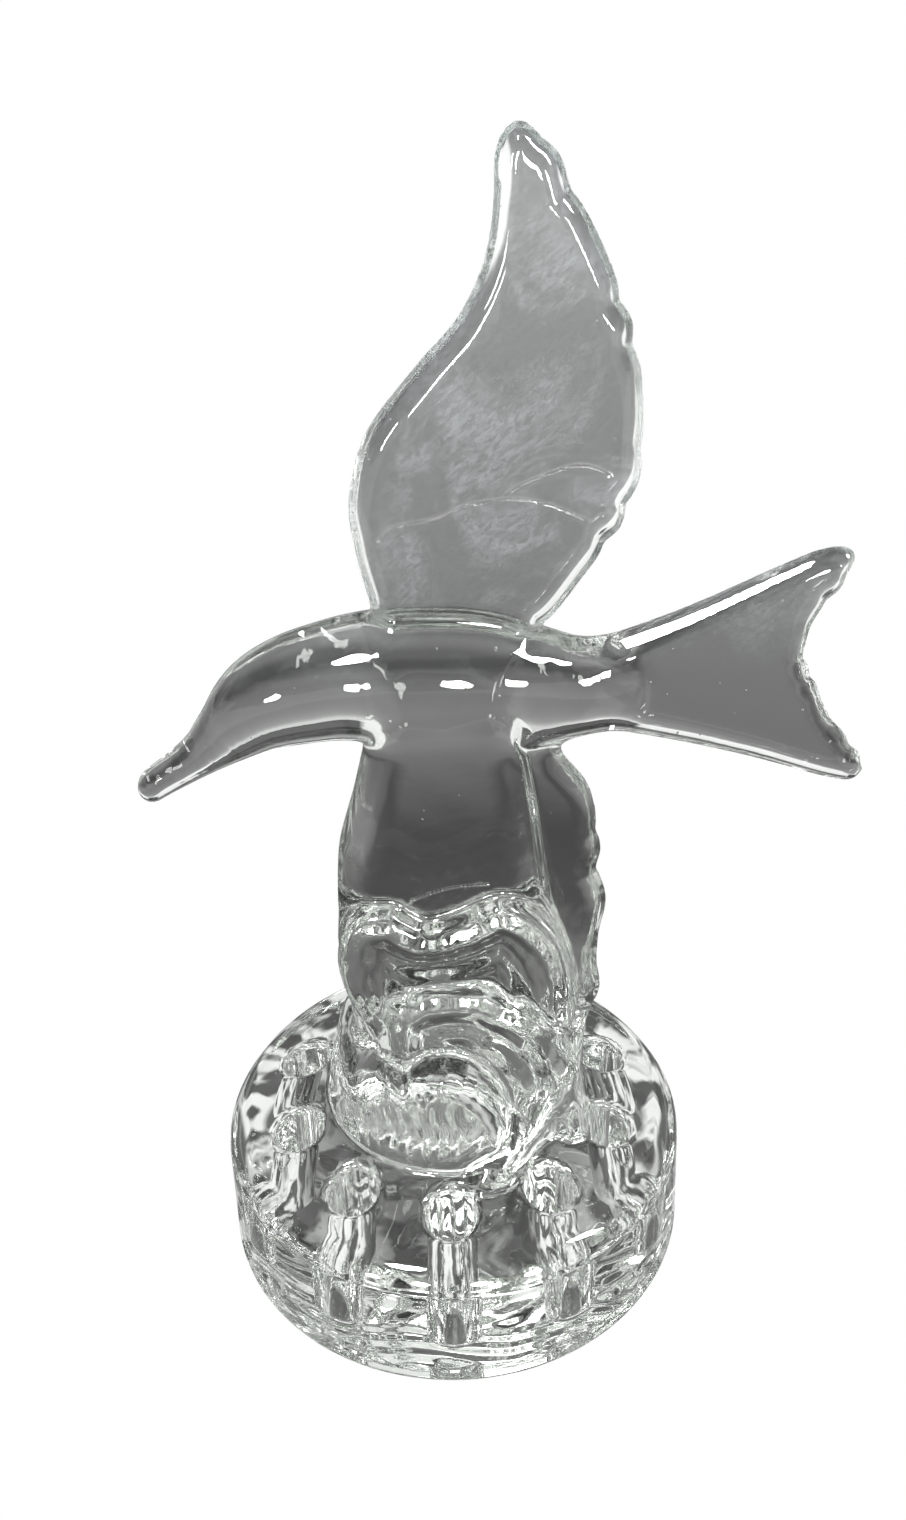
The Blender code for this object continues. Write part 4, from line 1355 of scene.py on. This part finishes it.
def make_world():
    """White round the object as the camera sees it, and for the glass a grey room: white with black flags
    low down, dark above them and bright overhead."""
    world = bpy.data.worlds.new("studio")
    world.use_nodes = True
    bpy.context.scene.world = world
    tree = world.node_tree
    tree.nodes.clear()
    direction = add_node(tree, "ShaderNodeTexCoord", (-1300, 0)).outputs["Generated"]
    parts = add_node(tree, "ShaderNodeSeparateXYZ", (-1100, 0), {0: direction}).outputs
    ramp = grey_ramp(tree, (-500, 0), parts["Z"], ROOM_LEVELS)
    swing = parts["Y"]
    for step, (operation, others) in enumerate(
        (("ARCTAN2", {1: parts["X"]}), ("MULTIPLY_ADD", {1: float(ROOM_FLAGS), 2: FLAG_TURN}), ("SINE", {}))
    ):
        swing = add_node(
            tree, "ShaderNodeMath", (-900 + 160 * step, -300), {0: swing, **others}, operation=operation
        ).outputs["Value"]
    flags = add_node(tree, "ShaderNodeMapRange", (-420, -300), {"Value": swing, **FLAG_RANGE})
    above = add_node(tree, "ShaderNodeMapRange", (-420, -550), {"Value": parts["Z"], **FLAG_TOP})
    low_down = {"Factor": above.outputs["Result"], "A": flags.outputs["Result"], "B": 1.0}
    share = add_node(tree, "ShaderNodeMix", (-240, -300), low_down, data_type="FLOAT").outputs["Result"]
    seen = add_node(tree, "ShaderNodeBackground", (-200, 150), {"Color": WHITE, "Strength": 1.0})
    room = add_node(tree, "ShaderNodeBackground", (-60, -50), {"Color": ramp, "Strength": share})
    seen_or_through(tree, "ShaderNodeOutputWorld", seen, room)


def make_light(name, place, aim_height, size, power):
    """A soft area light, aimed at a point on the object's axis."""
    data = bpy.data.lights.new(name, "AREA")
    data.shape = "ELLIPSE"
    data.size, data.size_y = size
    data.energy = power
    light = bpy.data.objects.new(name, data)
    light.location = place
    way = Vector((0.0, 0.0, aim_height)) - Vector(place)
    light.rotation_euler = way.to_track_quat("-Z", "Y").to_euler()
    light.visible_camera = False
    bpy.context.collection.objects.link(light)


class FROG_OT_press_glass(bpy.types.Operator):
    """Press the whole flower frog as one piece of clear glass"""

    bl_idname = "frog.press_glass"
    bl_label = "Press the glass"

    def execute(self, context):
        settings = context.scene.frog_glass
        spacing = settings.spacing * 1.0
        pressing = Pressing(settings)
        points, faces = surface_net(pressing, spacing)
        points = evened(pressing, points, faces)
        mesh = mesh_of(points, faces)
        refine_corners(mesh, pressing)
        refine_wrinkles(mesh, pressing, settings.wrinkle_width)
        piece = bpy.data.objects.new("pressed_glass_frog", mesh)
        context.collection.objects.link(piece)
        with_seeds(piece, settings, pressed_glass(settings))
        smooth_shading(piece.data, pressing)
        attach(piece, "root")
        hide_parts(NODE)
        return {"FINISHED"}


class FROG_OT_set_stage(bpy.types.Operator):
    """Set the pale floor, the soft lights and the camera"""

    bl_idname = "frog.set_stage"
    bl_label = "Set the stage"

    def execute(self, context):
        settings = context.scene.frog_stage
        make_world()
        make_floor(settings)
        for name, (place, aim_height, size, share) in LIGHTS.items():
            make_light(name, place, aim_height, size, settings.key_power * share)
        make_camera()
        context.scene.view_settings.view_transform = "Standard"
        context.scene.cycles.max_bounces = BOUNCES
        context.scene.cycles.transmission_bounces = BOUNCES
        context.scene.cycles.glossy_bounces = GLOSSY_BOUNCES
        return {"FINISHED"}


class FROG_PT_panel(bpy.types.Panel):
    """The steps that make the flower frog"""

    bl_label = "Flower Frog"
    bl_idname = "FROG_PT_panel"
    bl_space_type = "VIEW_3D"
    bl_region_type = "UI"
    bl_category = "Flower Frog"

    def draw(self, context):
        for settings in (context.scene.frog_glass, context.scene.frog_stage):
            for name in settings.__annotations__:
                self.layout.prop(settings, name)
        for step in STEPS:
            self.layout.operator(step.bl_idname)


STEPS = (FROG_OT_press_glass, FROG_OT_set_stage)
CLASSES = (FrogGlassSettings, FrogStageSettings, *STEPS, FROG_PT_panel)


def register():
    for kind in CLASSES:
        bpy.utils.register_class(kind)
    bpy.types.Scene.frog_glass = bpy.props.PointerProperty(type=FrogGlassSettings)
    bpy.types.Scene.frog_stage = bpy.props.PointerProperty(type=FrogStageSettings)


def unregister():
    del bpy.types.Scene.frog_stage
    del bpy.types.Scene.frog_glass
    for kind in reversed(CLASSES):
        bpy.utils.unregister_class(kind)


def main():
    """Makes every piece and the stage."""
    register()
    bpy.ops.frog.press_glass()
    bpy.ops.frog.set_stage()


if __name__ == "__main__":
    main()
